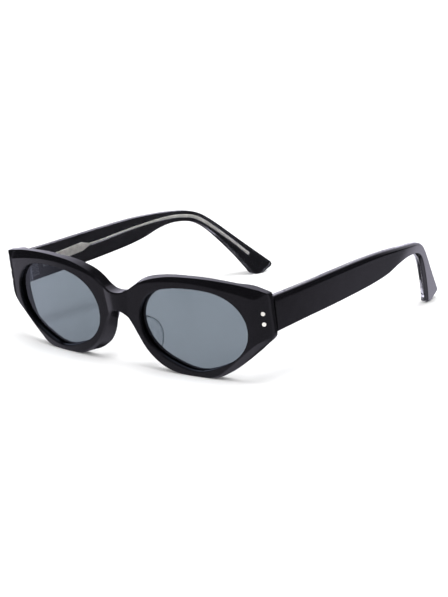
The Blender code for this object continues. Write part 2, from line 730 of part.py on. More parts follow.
def temple_leaf_pocket():
    """Cutter for the shallow seat of the hinge plate in the temple, in world mm."""
    inner_x = TEMPLE_OUTER_X - TEMPLE_THICKNESS
    half = LEAF_HALF_HEIGHT - TEMPLE_LEAF_TRIM + LEAF_CLEARANCE
    cutter = box("pocket", (inner_x - CUTTER_REACH, BUTT_PLANE - CUTTER_REACH, HINGE_Z - half),
                 (inner_x + TEMPLE_LEAF_SUNK + LEAF_CLEARANCE,
                  BUTT_PLANE + BUTT_GAP + TEMPLE_LEAF_START + TEMPLE_LEAF_LENGTH + LEAF_CLEARANCE,
                  HINGE_Z + half))
    leaf_taper(cutter)
    cutter.data.transform(front_matrix())
    return cutter


def leaf_taper(obj):
    for vertex in obj.data.vertices:
        vertex.co.x -= TEMPLE_TAPER * (vertex.co.y - TEMPLE_FRONT_Y)
    obj.data.update()


def build_screw(name):
    """Screw through the five barrels, with a slotted head on top."""
    half = 2 * BARREL_STEP + BARREL_HEIGHT / 2
    under_head = half + SCREW_HEAD_GAP
    top = under_head + SCREW_HEAD_HEIGHT
    profile = [(0.0, top), (SCREW_HEAD_TOP_RADIUS, top), (SCREW_HEAD_RADIUS, under_head),
               (SCREW_RADIUS, under_head), (SCREW_RADIUS, -half), (0.0, -half)]
    screw = turned(name, profile, BARREL_SEGMENTS)
    wide = 2 * SCREW_HEAD_RADIUS
    slot = box("slot", (-wide, -SCREW_SLOT_WIDTH / 2, top - SCREW_SLOT_DEPTH),
               (wide, SCREW_SLOT_WIDTH / 2, top + wide))
    boolean(screw, slot, "DIFFERENCE")
    tidy(screw)
    return placed(screw, Matrix.Translation((HINGE_X, HINGE_Y, HINGE_Z)))


# ---- temples ----------------------------------------------------------------
def drop_distance(y, z):
    """Distance past the ear bend along the dropping tip, eased in over the bend."""
    along = (y - TEMPLE_BEND[0]) * math.cos(TEMPLE_DROP) - (z - TEMPLE_BEND[1]) * math.sin(TEMPLE_DROP)
    past = along - TIP_RAMP_CENTRE
    if past < -TIP_RAMP_HALF:
        return 0.0
    if past > TIP_RAMP_HALF:
        return past
    return (past + TIP_RAMP_HALF) ** 2 / (4 * TIP_RAMP_HALF)


def temple_shift(y, z):
    """How far the temple has come inwards at a point of its side view."""
    straight = TEMPLE_TAPER * (min(y, TEMPLE_BEND[0]) - TEMPLE_FRONT_Y)
    return straight + TIP_INSET_SLOPE * drop_distance(y, z)


def bend_temple(obj):
    for vertex in obj.data.vertices:
        vertex.co.x -= temple_shift(vertex.co.y, vertex.co.z)
    obj.data.update()


def temple_outline():
    top = smooth_run(TEMPLE_TOP, SIDE_STEP, after=TEMPLE_BOTTOM[0])
    link = smooth_run((TEMPLE_TOP[-1], TEMPLE_BOTTOM[0]), SIDE_STEP,
                      before=TEMPLE_TOP[-2], after=TEMPLE_BOTTOM[1])
    bottom = smooth_run(TEMPLE_BOTTOM, SIDE_STEP, before=TEMPLE_TOP[-1])
    return top + link + bottom + [TEMPLE_BOTTOM[-1]]


def temple_ring(outline, depth, inset_share, inset=0.0):
    ring = []
    for point, normal in zip(outline, side_normals(outline)):
        move = -inset_share * point[2] - inset
        ring.append((TEMPLE_OUTER_X - depth, point[0] + normal[0] * move, point[1] + normal[1] * move))
    return ring


def temple_slices():
    """Cuts square to the temple, so that its mesh can follow the bend."""
    cuts = [((0, y, 0), (0, 1, 0)) for y in TEMPLE_STRAIGHT_CUTS]
    direction = Vector((0, math.cos(TEMPLE_DROP), -math.sin(TEMPLE_DROP)))
    bend = Vector((0, TEMPLE_BEND[0], TEMPLE_BEND[1]))
    for along in TEMPLE_DROP_CUTS:
        cuts.append((bend + direction * along, direction))
    return cuts


def butt_cutter():
    """Half space in front of the temple's front face, in world mm."""
    cutter = box("butt", (0, -FAR, -FAR), (FAR, BUTT_PLANE + BUTT_GAP, FAR))
    cutter.data.transform(front_matrix())
    return cutter


def front_matrix():
    return Matrix.Translation((0, 0, FRONT_HEIGHT)) @ Matrix.Rotation(TILT, 4, "X")


def hinge_matrix():
    """Hinge axis frame of the left side, in world mm."""
    return front_matrix() @ Matrix.Translation((HINGE_X, HINGE_Y, HINGE_Z))


def wire_outline(extra):
    """Side outline of the core wire, grown by extra all round."""
    centre = smooth_run(WIRE_PATH[2:], SIDE_STEP)
    centre = list(WIRE_PATH[:2]) + centre + [WIRE_PATH[-1]]
    count = len(centre)
    upper = []
    lower = []
    for i, (y, z, half) in enumerate(centre):
        ahead = centre[min(i + 1, count - 1)]
        behind = centre[max(i - 1, 0)]
        length = math.hypot(ahead[0] - behind[0], ahead[1] - behind[1])
        along = ((ahead[0] - behind[0]) / length, (ahead[1] - behind[1]) / length)
        shift = 0.0
        if i == 0:
            shift = -extra
        if i == count - 1:
            shift = extra
        y += along[0] * shift
        z += along[1] * shift
        upper.append((y - along[1] * (half + extra), z + along[0] * (half + extra)))
        lower.append((y + along[1] * (half + extra), z - along[0] * (half + extra)))
    return upper + lower[::-1]


def wire_plate(name, extra, low_depth, high_depth):
    return plate(name, wire_outline(extra), TEMPLE_OUTER_X - high_depth,
                 TEMPLE_OUTER_X - low_depth, DEPTH_ALONG_X)


def build_core_wire(name):
    """Flat wire with a ribbed, pointed shoe at its front end."""
    front = TEMPLE_OUTER_LAYER + BOND_GAP + WIRE_BED
    back = front + WIRE_THICKNESS
    wire = wire_plate(name, 0.0, front, back)
    start, end = WIRE_PATH[0], WIRE_PATH[1]
    slope = math.atan2(end[1] - start[1], end[0] - start[0])
    place = Matrix.Translation((TEMPLE_OUTER_X - back + SHOE_GROOVE_DEPTH, start[0], start[1]))
    half = SHOE_GROOVE_WIDTH / 2
    for i in range(SHOE_GROOVES):
        level = (i - (SHOE_GROOVES - 1) / 2) * SHOE_GROOVE_PITCH
        groove = box("groove", (-CUTTER_REACH, SHOE_GROOVE_END - SHOE_GROOVE_LENGTH, level - half),
                     (0, SHOE_GROOVE_END, level + half))
        groove.data.transform(place @ Matrix.Rotation(slope, 4, "X"))
        boolean(wire, groove, "DIFFERENCE")
    slice_at(wire, temple_slices())
    tidy(wire)
    bend_temple(wire)
    return wire


def build_temple_layers():
    """Outer and inner layer of the left temple, in world mm."""
    outline = temple_outline()
    outer = loft("temple_outer_left", [
        temple_ring(outline, 0.0, 1.0),
        temple_ring(outline, TEMPLE_FACET_DEPTH / 2, TEMPLE_FACET_SWELL),
        temple_ring(outline, TEMPLE_FACET_DEPTH, 0.0),
        temple_ring(outline, TEMPLE_OUTER_LAYER, 0.0),
    ])
    start = TEMPLE_OUTER_LAYER + BOND_GAP
    first_cut = TEMPLE_ROUND * TEMPLE_ROUND_SHARE
    inner = loft("temple_inner_left", [
        temple_ring(outline, start, 0.0),
        temple_ring(outline, TEMPLE_THICKNESS - TEMPLE_ROUND, 0.0),
        temple_ring(outline, TEMPLE_THICKNESS - first_cut, 0.0, first_cut),
        temple_ring(outline, TEMPLE_THICKNESS, 0.0, TEMPLE_ROUND),
    ])
    floor_of_channel = start + WIRE_BED + WIRE_THICKNESS + WIRE_COVER
    channel = wire_plate("channel", WIRE_CLEARANCE, start - CUTTER_REACH, floor_of_channel)
    boolean(inner, channel, "DIFFERENCE")
    for layer in (outer, inner):
        slice_at(layer, temple_slices())
        tidy(layer)
        bend_temple(layer)
        boolean(layer, butt_cutter(), "DIFFERENCE")
    boolean(inner, temple_leaf_pocket(), "DIFFERENCE")
    for layer in (outer, inner):
        tidy(layer)
    return outer, inner


# ---- assembly ---------------------------------------------------------------
def finish(obj, frame, parent, spec):
    """Bring a mesh from mm in the given frame to metres under its parent."""
    obj.data.transform(Matrix.Scale(MM, 4) @ frame)
    obj.data.materials.clear()
    obj.data.materials.append(material(spec))
    obj.parent = parent


def mirror_matrix(matrix):
    flip = Matrix.Scale(-1, 4, (1, 0, 0))
    return flip @ matrix @ flip


def empty_at(name, matrix):
    """Empty to hang pieces on; the matrix is in mm."""
    empty = bpy.data.objects.new(name, None)
    empty.empty_display_size = EMPTY_SIZE
    empty.location = matrix.translation * MM
    empty.rotation_euler = matrix.to_euler()
    PARTS.objects.link(empty)
    return empty


def main():
    middle = empty_at("glasses", Matrix.Translation((0, -MIDDLE_Y, 0)))
    front_empty = empty_at("front_frame", front_matrix())
    pivots = {
        "left": empty_at("pivot_left", hinge_matrix()),
        "right": empty_at("pivot_right", mirror_matrix(hinge_matrix())),
    }
    for empty in (front_empty, pivots["left"], pivots["right"]):
        empty.parent = middle
    same = Matrix.Identity(4)
    finish(build_front("front_rim"), same, front_empty, ACETATE)

    left_front = [
        (build_lens("lens_left", 1), TINT),
        (build_nose_pad("nose_pad_left"), CRYSTAL),
        (build_front_leaf("front_hinge_left"), STEEL),
        (build_screw("hinge_screw_left"), STEEL),
    ]
    for place, height in RIVET_HEIGHTS.items():
        left_front.append((rivet_solid("front_rivet_" + place + "_left", 1, height), STEEL))
    for obj, spec in left_front:
        other = mirrored_copy(obj, obj.name.replace("_left", "_right"))
        finish(obj, same, front_empty, spec)
        finish(other, same, front_empty, spec)

    temple_outer, temple_inner = build_temple_layers()
    to_hinge = hinge_matrix().inverted()
    leaf_to_hinge = to_hinge @ front_matrix()
    left_temple = [
        (temple_outer, ACETATE, to_hinge),
        (temple_inner, CRYSTAL, to_hinge),
        (build_core_wire("core_wire_left"), STEEL, to_hinge),
        (build_temple_leaf("temple_hinge_left"), STEEL, leaf_to_hinge),
    ]
    for obj, spec, frame in left_temple:
        other = mirrored_copy(obj, obj.name.replace("_left", "_right"))
        finish(obj, frame, pivots["left"], spec)
        finish(other, mirror_matrix(frame), pivots["right"], spec)


clear_scene()
PARTS = new_collection("cat_eye_sunglasses")
main()
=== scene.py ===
"""Looks of the cat eye sunglasses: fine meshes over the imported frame, materials, light and camera.

The frame's axes, metres: +X is the wearer's left, the lenses face -Y, +Z is up, floor at z = 0,
origin in the middle of the width and of the length. The fine meshes repeat the dimensions of the
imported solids. The hinge leaves and screws are shown as they were packed.
"""
import math

import bmesh
import bpy
from mathutils import Matrix, Vector


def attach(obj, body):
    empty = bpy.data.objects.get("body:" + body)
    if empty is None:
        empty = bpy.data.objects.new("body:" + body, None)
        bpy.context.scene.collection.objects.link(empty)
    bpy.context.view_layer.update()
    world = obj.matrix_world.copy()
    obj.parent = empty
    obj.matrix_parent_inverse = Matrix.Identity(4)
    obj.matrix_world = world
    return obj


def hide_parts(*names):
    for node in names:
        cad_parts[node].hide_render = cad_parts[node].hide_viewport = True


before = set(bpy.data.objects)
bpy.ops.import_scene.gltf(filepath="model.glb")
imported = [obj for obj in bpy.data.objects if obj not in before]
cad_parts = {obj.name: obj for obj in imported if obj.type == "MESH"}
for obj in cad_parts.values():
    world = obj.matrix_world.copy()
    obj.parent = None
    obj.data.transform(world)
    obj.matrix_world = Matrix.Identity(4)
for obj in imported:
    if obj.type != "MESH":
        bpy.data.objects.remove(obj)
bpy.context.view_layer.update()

PARTS = bpy.context.scene.collection

MM = 0.001
FAR = 100.0               # mm, larger than the object
WELD = 0.0005             # mm, points closer than this are one point
TURN_WELD = 0.0001        # the same for solids turned about an axis
SMALLEST_GAP = 1e-4       # keeps a smooth run apart where two of its points meet

# ---- driving dimensions, mm ----
WRAP = 0.00144            # front curve: y = WRAP * x^2
TILT = math.radians(4.4)  # the front leans forward at the top
FRONT_HEIGHT = 19.24      # height of the lens centre line above the floor
MIDDLE_Y = 69.57          # the origin is this far behind the face, halfway along the glasses
FRONT_THICKNESS = 4.4     # whole front, away from the end pieces
EDGE_RATIO = 0.8          # depth of an edge facet divided by its width

END_START = 63.3          # from here outwards the front surface turns back
END_WIDTH = 71.5          # half width of the front
END_DROP = 3.0            # how far the front surface has turned back at the end
END_POWER = 1.8
BLOCK_START = 56.0        # the back of the end piece swells between these two
BLOCK_FULL = 64.8
SWELL_DEPTH = 3.6         # the swelling leaves everything in front of this depth alone
BUTT_PLANE = 12.2         # flat back of the end piece
BUTT_GAP = 0.15           # between end piece and temple

BRIDGE_BULGE = 1.0        # the bridge swells forward by this
CREASE_TOP = (6.4, 11.4)      # x and z of the bridge crease, upper end
CREASE_BOTTOM = (5.2, 2.1)    # and lower end

LENS_CENTRE = 36.52       # x of the lens centre
LENS_DROP = 0.13          # the lens centre lies this far under the front's centre line
LENS_RADIUS = 20.36       # mean radius of the opening
LENS_HARMONICS = ((2, 4.49, 0.28), (3, -0.03, 0.64), (4, 0.68, 0.07))   # order, cosine, sine
LENS_POINTS = 200
OPENING_BACK_CHAMFER = 0.15
GROOVE_DEPTH = 0.7        # groove round the opening that holds the lens
GROOVE_CLEARANCE = 0.15
LENS_ENGAGEMENT = 0.5     # how far the lens reaches into its groove
LENS_FRONT = 1.7          # depths of the lens's two faces behind the front's face
LENS_BACK = 3.3
LENS_BEVEL = 0.3
LENS_HALF_WIDTH = 24.0    # the lens is cut into bendable strips this far to both sides
OUTLINE_STEP = 1.0        # spacing of the points along the front's outline
SIDE_STEP = 1.0           # and along the outlines of the temple and its wire

RIVET_X = 68.7
RIVET_HEIGHTS = {"upper": 8.4, "lower": 4.3}
RIVET_HEAD_RADIUS = 0.8
RIVET_HEAD_DEPTH = 0.5
RIVET_DOME = 0.08         # height of the head's dome
RIVET_SHAFT_RADIUS = 0.55
RIVET_CLEARANCE = 0.04
RIVET_SETBACK = 0.15      # the rivet stops this far inside the back of the end piece
RIVET_SEGMENTS = 48
RIVET_DOME_STEPS = 8
SLOPE_STEP = 0.05         # the surface's slope at a rivet is measured over this
CUTTER_REACH = 2.0        # how far a cutter runs past the surface it opens

HINGE_X = 64.9            # hinge axis and middle height of the leaves, in the front's own frame
HINGE_Z = 6.4
LEAF_HALF_HEIGHT = 4.4
LEAF_THICKNESS = 0.8
LEAF_START = 0.4          # from the hinge axis outwards
LEAF_END = 5.2
LEAF_SETBACK = 0.05       # plate behind the end piece's back face
LEAF_CLEARANCE = 0.05
TEMPLE_LEAF_START = 0.5   # behind the temple's front face
TEMPLE_LEAF_LENGTH = 9.0
TEMPLE_LEAF_TRIM = 0.2    # the temple's leaf is this much lower above and below
TEMPLE_LEAF_SUNK = 0.7    # depth of its seat in the temple's inner face

TEMPLE_OUTER_X = 71.7     # outer face of the temple at the end piece
TEMPLE_TAPER = 0.0417     # the temples close in towards the ears
TEMPLE_THICKNESS = 3.8
TEMPLE_OUTER_LAYER = 1.9  # thickness of the black layer
BOND_GAP = 0.05           # gap kept between two bonded layers
TEMPLE_FRONT_Y = 11.8     # the taper starts here
TEMPLE_FACET_DEPTH = 1.1  # depth of the facet round the outer face
TEMPLE_ROUND = 0.5        # rounding of the inner face's edges
TEMPLE_BEND = (106.5, 30.5)         # y and z of the ear bend
TEMPLE_DROP = math.radians(42.1)    # how steeply the tip drops behind it
TIP_INSET_SLOPE = 0.385   # the dropping tip closes in this much per mm of its length
TIP_RAMP_CENTRE = -7.0    # along the drop, from the bend point
TIP_RAMP_HALF = 9.0

WIRE_THICKNESS = 0.9
WIRE_CLEARANCE = 0.12     # between the wire's outline and its channel
WIRE_COVER = 0.1          # gap between the wire and the floor of its channel
WIRE_BED = 0.03           # gap between the wire and the outer layer

# outline of the front, one half: x, z, width of the facet, extra width of the back
FRONT_OUTLINE = (
    (0.0, 10.4, 0.5, 0.0), (3.0, 10.7, 0.5, 0.0), (6.3, 12.0, 0.5, 0.4),
    (9.2, 13.8, 0.5, 0.8), (11.8, 15.3, 0.6, 0.9), (14.8, 16.6, 1.0, 0.9),
    (19.6, 18.0, 1.4, 0.7), (26.5, 19.3, 1.75, 0.3), (35.0, 19.9, 1.8, 0.0),
    (44.0, 19.85, 2.1, 0.0), (52.0, 19.3, 2.5, 0.0), (60.0, 18.35, 2.9, 0.0),
    (66.9, 17.0, 3.1, 0.0), (70.2, 16.3, 0.6, 0.0), (70.85, 16.0, 0.5, 0.0),
    (71.1, 15.3, 0.5, 0.0), (71.4, 7.0, 0.5, 0.0), (71.5, 0.3, 0.5, 0.0),
    (71.3, -0.7, 0.5, 0.0), (70.7, -1.5, 0.7, 0.0), (66.7, -4.8, 1.8, 0.0),
    (62.4, -8.35, 2.0, 0.0), (57.9, -12.05, 2.0, 0.0), (54.1, -14.85, 1.8, 0.0),
    (50.4, -17.15, 1.4, 0.0), (47.1, -18.6, 0.8, 0.0), (43.3, -19.35, 0.5, 0.0),
    (38.0, -19.55, 0.5, 0.0), (32.0, -19.45, 0.5, 0.0), (26.5, -19.0, 0.6, 0.0),
    (21.4, -17.7, 0.8, 0.3), (17.8, -16.0, 1.0, 0.9), (14.4, -13.5, 1.0, 1.6),
    (11.7, -10.6, 1.0, 2.4), (9.9, -7.9, 1.0, 2.7), (8.2, -5.1, 1.0, 2.5),
    (6.8, -2.5, 0.9, 2.0), (5.5, -0.4, 0.7, 1.3), (4.2, 1.25, 0.5, 0.6),
    (2.2, 2.5, 0.5, 0.2), (0.0, 2.9, 0.5, 0.0),
)

# side outline of the temple: y, z and width of the facet on the outer face
TEMPLE_TOP = (
    (7.0, 34.3, 1.6), (30.0, 34.6, 1.5), (50.0, 35.1, 1.4), (68.0, 35.45, 1.3),
    (80.0, 35.3, 1.1), (90.0, 34.7, 0.9), (100.0, 33.8, 0.8), (106.0, 33.0, 0.7),
    (110.0, 31.9, 0.6), (113.0, 30.4, 0.6), (116.4, 27.8, 0.6), (120.4, 24.1, 0.6),
    (126.3, 18.2, 0.6), (132.3, 12.3, 0.6), (139.3, 5.5, 0.6), (140.7, 4.1, 0.6),
    (140.9, 3.1, 0.6), (140.2, 2.2, 0.6),
)
TEMPLE_BOTTOM = (
    (137.6, 1.1, 0.5), (135.6, 0.0, 0.4), (132.4, 0.0, 0.4), (131.0, 0.5, 0.4), (130.1, 2.0, 0.4),
    (126.8, 7.5, 0.4), (123.2, 12.8, 0.4), (119.6, 17.6, 0.4), (116.0, 22.0, 0.4),
    (112.0, 25.7, 0.4), (107.5, 27.9, 0.4), (102.3, 28.9, 0.3), (97.0, 29.0, 0.3),
    (90.0, 27.8, 0.3), (83.0, 25.9, 0.3), (75.0, 24.6, 0.3), (62.0, 23.4, 0.3),
    (45.0, 22.3, 0.3), (28.0, 21.5, 0.3), (7.0, 20.35, 0.3),
)

# centre line of the core wire in side view: y, z and half height
WIRE_PATH = (
    (24.5, 27.3, 2.0), (47.0, 29.4, 2.0), (51.2, 29.55, 0.5), (58.0, 29.9, 0.42),
    (70.0, 30.8, 0.42), (82.0, 31.3, 0.5), (94.0, 31.5, 0.65), (102.0, 31.2, 0.8),
    (106.0, 30.6, 0.85), (109.5, 29.7, 0.85), (113.5, 27.3, 0.85), (117.4, 23.9, 0.8),
    (121.3, 20.1, 0.75), (126.0, 15.2, 0.7), (131.6, 9.0, 0.7),
)
SHOE_GROOVES = 4          # grooves along the flat shoe at the wire's front end
SHOE_GROOVE_WIDTH = 0.3
SHOE_GROOVE_DEPTH = 0.3
SHOE_GROOVE_PITCH = 0.8
SHOE_GROOVE_LENGTH = 30.0
SHOE_GROOVE_END = 22.0    # the ribs stop short of the shoe's point

# nose pad: stations along the nose cut-out (x, z) on the back of the front
PAD_PATH = ((4.9, 0.2), (6.1, -2.1), (7.6, -4.8), (9.5, -7.8), (12.0, -11.0), (14.8, -13.4))
PAD_REACH = 6.3           # how far the pad stands out behind the front
PAD_FULLNESS = 0.7        # the lower, the fuller the pad's two ends
PAD_BASE = 3.0            # width of the pad's base
PAD_FLARE = 0.32          # how much it leans outwards towards its back
PAD_GAP = 0.08            # between pad and front
PAD_STEP = 1.2
PAD_SECTION = (           # across the base and back along the reach, both as shares
    (-1.0, 0.0), (-1.0, 0.45), (-0.85, 0.8), (-0.4, 1.0),
    (0.3, 1.0), (0.75, 0.8), (0.95, 0.45), (1.0, 0.0),
)
PAD_NARROWING = 0.45      # the section narrows by this share towards its back
PAD_END_WIDTH = 0.55      # width left at the pad's two ends

OTHER_SIDE = Matrix.Scale(-1, 4, (1, 0, 0))     # mirrors left and right


# ---- mesh helpers ----
def object_from(bm, name):
    mesh = bpy.data.meshes.new(name)
    bm.to_mesh(mesh)
    bm.free()
    obj = bpy.data.objects.new(name, mesh)
    PARTS.objects.link(obj)
    return obj


def applied(obj):
    """Replace the object's mesh by the result of its modifiers."""
    bpy.context.view_layer.update()
    graph = bpy.context.evaluated_depsgraph_get()
    result = bpy.data.meshes.new_from_object(obj.evaluated_get(graph))
    obj.modifiers.clear()
    obj.data = result
    return obj


def cut(target, tool):
    """Take the tool out of the target and remove it."""
    modifier = target.modifiers.new("cut", "BOOLEAN")
    modifier.operation = "DIFFERENCE"
    modifier.solver = "EXACT"
    modifier.object = tool
    applied(target)
    bpy.data.objects.remove(tool, do_unlink=True)
    return target


def edit(obj, action):
    bm = bmesh.new()
    bm.from_mesh(obj.data)
    action(bm)
    bm.to_mesh(obj.data)
    bm.free()
    obj.data.update()


def tidy(obj):
    """Weld, triangulate and turn the faces outwards."""
    def action(bm):
        bmesh.ops.remove_doubles(bm, verts=bm.verts, dist=WELD)
        bmesh.ops.dissolve_degenerate(bm, dist=WELD, edges=bm.edges)
        bmesh.ops.triangulate(bm, faces=bm.faces)
        bmesh.ops.recalc_face_normals(bm, faces=bm.faces)
    edit(obj, action)


# ---- outline helpers ----
def spline_point(p0, p1, p2, p3, t):
    """Centripetal Catmull-Rom through p1 and p2, on x and y; the rest is linear."""
    def gap(a, b):
        return max(math.sqrt(math.hypot(b[0] - a[0], b[1] - a[1])), SMALLEST_GAP)
    t1 = gap(p0, p1)
    t2 = t1 + gap(p1, p2)
    t3 = t2 + gap(p2, p3)
    s = t1 + t * (t2 - t1)
    values = []
    for i in range(2):
        a1 = (t1 - s) / t1 * p0[i] + s / t1 * p1[i]
        a2 = (t2 - s) / (t2 - t1) * p1[i] + (s - t1) / (t2 - t1) * p2[i]
        a3 = (t3 - s) / (t3 - t2) * p2[i] + (s - t2) / (t3 - t2) * p3[i]
        b1 = (t2 - s) / t2 * a1 + s / t2 * a2
        b2 = (t3 - s) / (t3 - t1) * a2 + (s - t1) / (t3 - t1) * a3
        values.append((t2 - s) / (t2 - t1) * b1 + (s - t1) / (t2 - t1) * b2)
    for i in range(2, len(p1)):
        values.append(p1[i] + t * (p2[i] - p1[i]))
    return tuple(values)


def reflected(end, inner):
    return (2 * end[0] - inner[0], 2 * end[1] - inner[1]) + tuple(end[2:])


def smooth_run(points, step, before=None, after=None):
    """Sample a smooth run through the points, leaving out its last point."""
    points = [before or reflected(points[0], points[1])] + list(points)
    points.append(after or reflected(points[-1], points[-2]))
    samples = []
    for i in range(1, len(points) - 2):
        length = math.hypot(points[i + 1][0] - points[i][0], points[i + 1][1] - points[i][1])
        count = max(1, round(length / step))
        for j in range(count):
            samples.append(spline_point(*points[i - 1:i + 3], j / count))
    return samples


def side_normals(outline):
    """Unit vectors that point out of a closed outline running clockwise in x, z."""
    normals = []
    count = len(outline)
    for i in range(count):
        ax, az = outline[i - 1][:2]
        bx, bz = outline[(i + 1) % count][:2]
        length = math.hypot(bx - ax, bz - az)
        normals.append((-(bz - az) / length, (bx - ax) / length))
    return normals


def run_directions(points):
    """Unit vector along an open run at each of its points."""
    last = len(points) - 1
    vectors = []
    for i in range(last + 1):
        ahead, behind = points[min(i + 1, last)], points[max(i - 1, 0)]
        length = math.hypot(ahead[0] - behind[0], ahead[1] - behind[1])
        vectors.append(((ahead[0] - behind[0]) / length, (ahead[1] - behind[1]) / length))
    return vectors


def loft(name, rings):
    """Closed solid through equal rings of 3-D points, with flat end caps."""
    bm = bmesh.new()
    rows = [[bm.verts.new(p) for p in ring] for ring in rings]
    count = len(rings[0])
    for lower, upper in zip(rows[:-1], rows[1:]):
        for i in range(count):
            j = (i + 1) % count
            bm.faces.new((lower[i], lower[j], upper[j], upper[i]))
    bm.faces.new(list(reversed(rows[0])))
    bm.faces.new(rows[-1])
    bmesh.ops.recalc_face_normals(bm, faces=bm.faces)
    return object_from(bm, name)


def slice_at(obj, planes):
    """Add edges where the planes (point, normal) cross the mesh."""
    def action(bm):
        for point, normal in planes:
            geometry = list(bm.verts) + list(bm.edges) + list(bm.faces)
            bmesh.ops.bisect_plane(bm, geom=geometry, dist=WELD, plane_co=point, plane_no=normal)
    edit(obj, action)


def turned(name, profile, matrix):
    """Solid turned about local Z; the profile's (radius, level) points run from top to bottom."""
    bm = bmesh.new()
    points = [bm.verts.new((radius, 0.0, level)) for radius, level in profile]
    for upper, lower in zip(points[:-1], points[1:]):
        bm.edges.new((upper, lower))
    obj = object_from(bm, name)
    turn = obj.modifiers.new("turn", "SCREW")
    turn.axis = "Z"
    turn.steps = RIVET_SEGMENTS
    turn.render_steps = RIVET_SEGMENTS
    turn.use_merge_vertices = True
    turn.merge_threshold = TURN_WELD
    applied(obj)
    tidy(obj)
    obj.data.transform(matrix)
    return obj


def box(name, low, high):
    bm = bmesh.new()
    bmesh.ops.create_cube(bm, size=1.0)
    size = [high[i] - low[i] for i in range(3)]
    middle = [(high[i] + low[i]) / 2 for i in range(3)]
    bmesh.ops.scale(bm, vec=size, verts=bm.verts)
    bmesh.ops.translate(bm, vec=middle, verts=bm.verts)
    return object_from(bm, name)


# ---- front shape ----
def crease_x(z):
    """Half width of the swollen bridge at height z."""
    share = (z - CREASE_BOTTOM[1]) / (CREASE_TOP[1] - CREASE_BOTTOM[1])
    return CREASE_BOTTOM[0] + share * (CREASE_TOP[0] - CREASE_BOTTOM[0])


def front_recess(x, z):
    """How far the front surface lies behind the plain wrap curve."""
    side = abs(x)
    if side > END_START:
        share = (side - END_START) / (END_WIDTH - END_START)
        return END_DROP * share ** END_POWER
    limit = crease_x(z)
    if side < limit:
        return -BRIDGE_BULGE * (1.0 - (side / limit) ** 2)
    return 0.0


def back_swell(x):
    """How much further back the end piece reaches, up to its flat back."""
    side = abs(x)
    if side < BLOCK_START:
        return 0.0
    block = BUTT_PLANE - WRAP * side * side - FRONT_THICKNESS
    share = min(1.0, (side - BLOCK_START) / (BLOCK_FULL - BLOCK_START))
    return block * share * share * (3.0 - 2.0 * share)


def wrap_point(x, depth, z):
    """Bend a point of the flat sheet (depth behind the front face) to its place."""
    recess = front_recess(x, z)
    plain = recess + depth / FRONT_THICKNESS * (FRONT_THICKNESS - recess)
    share = max(0.0, depth - SWELL_DEPTH) / (FRONT_THICKNESS - SWELL_DEPTH)
    return Vector((x, WRAP * x * x + plain + share * back_swell(x), z))


def wrap_mesh(obj):
    for vertex in obj.data.vertices:
        vertex.co = wrap_point(vertex.co.x, vertex.co.y, vertex.co.z)
    obj.data.update()


def full_front_outline():
    mirrored = [(-p[0],) + p[1:] for p in FRONT_OUTLINE]
    half = smooth_run(FRONT_OUTLINE, OUTLINE_STEP, before=mirrored[1], after=mirrored[-2])
    half.append(FRONT_OUTLINE[-1])
    other = [(-p[0],) + p[1:] for p in reversed(half[1:-1])]
    return half + other


def lens_outline(offset):
    """Closed lens curve in x, z, grown outwards by the offset."""
    points = []
    for i in range(LENS_POINTS):
        angle = 2 * math.pi * i / LENS_POINTS
        radius = LENS_RADIUS
        for order, cosine, sine in LENS_HARMONICS:
            radius += cosine * math.cos(order * angle) + sine * math.sin(order * angle)
        points.append((LENS_CENTRE + radius * math.cos(angle),
                       radius * math.sin(angle) - LENS_DROP))
    grown = []
    for point, normal in zip(points, side_normals(points)):
        grown.append((point[0] - normal[0] * offset, point[1] - normal[1] * offset))
    return grown


def lens_prism(name, side, stations):
    """Solid with the lens shape; stations are (depth, growth) pairs."""
    rings = []
    for depth, growth in stations:
        rings.append([(side * x, depth, z) for x, z in lens_outline(growth)])
    return loft(name, rings)


def rivet_matrix(side, height):
    """Origin on the front surface, local +Z pointing out of the surface."""
    here = wrap_point(RIVET_X, 0.0, height)
    there = wrap_point(RIVET_X + SLOPE_STEP, 0.0, height)
    along = (there - here).normalized()
    outward = Vector((along.y, -along.x, 0.0))
    here = Vector((side * here.x, here.y, here.z))
    outward = Vector((side * outward.x, outward.y, 0.0))
    rotation = outward.to_track_quat("Z", "Y").to_matrix().to_4x4()
    return Matrix.Translation(here) @ rotation


def rivet_length(side, height):
    """From the front surface to just inside the back of the end piece."""
    matrix = rivet_matrix(side, height)
    direction = -(matrix.to_3x3() @ Vector((0, 0, 1)))
    return (BUTT_PLANE - RIVET_SETBACK - matrix.translation.y) / direction.y


def rivet_solid(name, height):
    """Rivet of the left end piece, with its domed head let into the front surface."""
    profile = []
    for i in range(RIVET_DOME_STEPS + 1):
        angle = math.pi / 2 * (1 - i / RIVET_DOME_STEPS)
        profile.append((RIVET_HEAD_RADIUS * math.cos(angle), RIVET_DOME * math.sin(angle)))
    bottom = -rivet_length(1, height)
    profile += [(RIVET_HEAD_RADIUS, -RIVET_HEAD_DEPTH), (RIVET_SHAFT_RADIUS, -RIVET_HEAD_DEPTH)]
    profile += [(RIVET_SHAFT_RADIUS, bottom), (0.0, bottom)]
    return turned(name, profile, rivet_matrix(1, height))


def rivet_hole(side, height):
    """Cutter for the stepped hole that takes the rivet."""
    head = RIVET_HEAD_RADIUS + RIVET_CLEARANCE
    shaft = RIVET_SHAFT_RADIUS + RIVET_CLEARANCE
    shelf = -RIVET_HEAD_DEPTH - RIVET_CLEARANCE
    bottom = -rivet_length(side, height) - CUTTER_REACH
    profile = [(0.0, CUTTER_REACH), (head, CUTTER_REACH), (head, shelf), (shaft, shelf)]
    profile += [(shaft, bottom), (0.0, bottom)]
    return turned("rivet_hole", profile, rivet_matrix(side, height))


def mirrored_copy(obj, name):
    mesh = obj.data.copy()
    mesh.transform(OTHER_SIDE)
    mesh.flip_normals()
    made = bpy.data.objects.new(name, mesh)
    PARTS.objects.link(made)
    return made


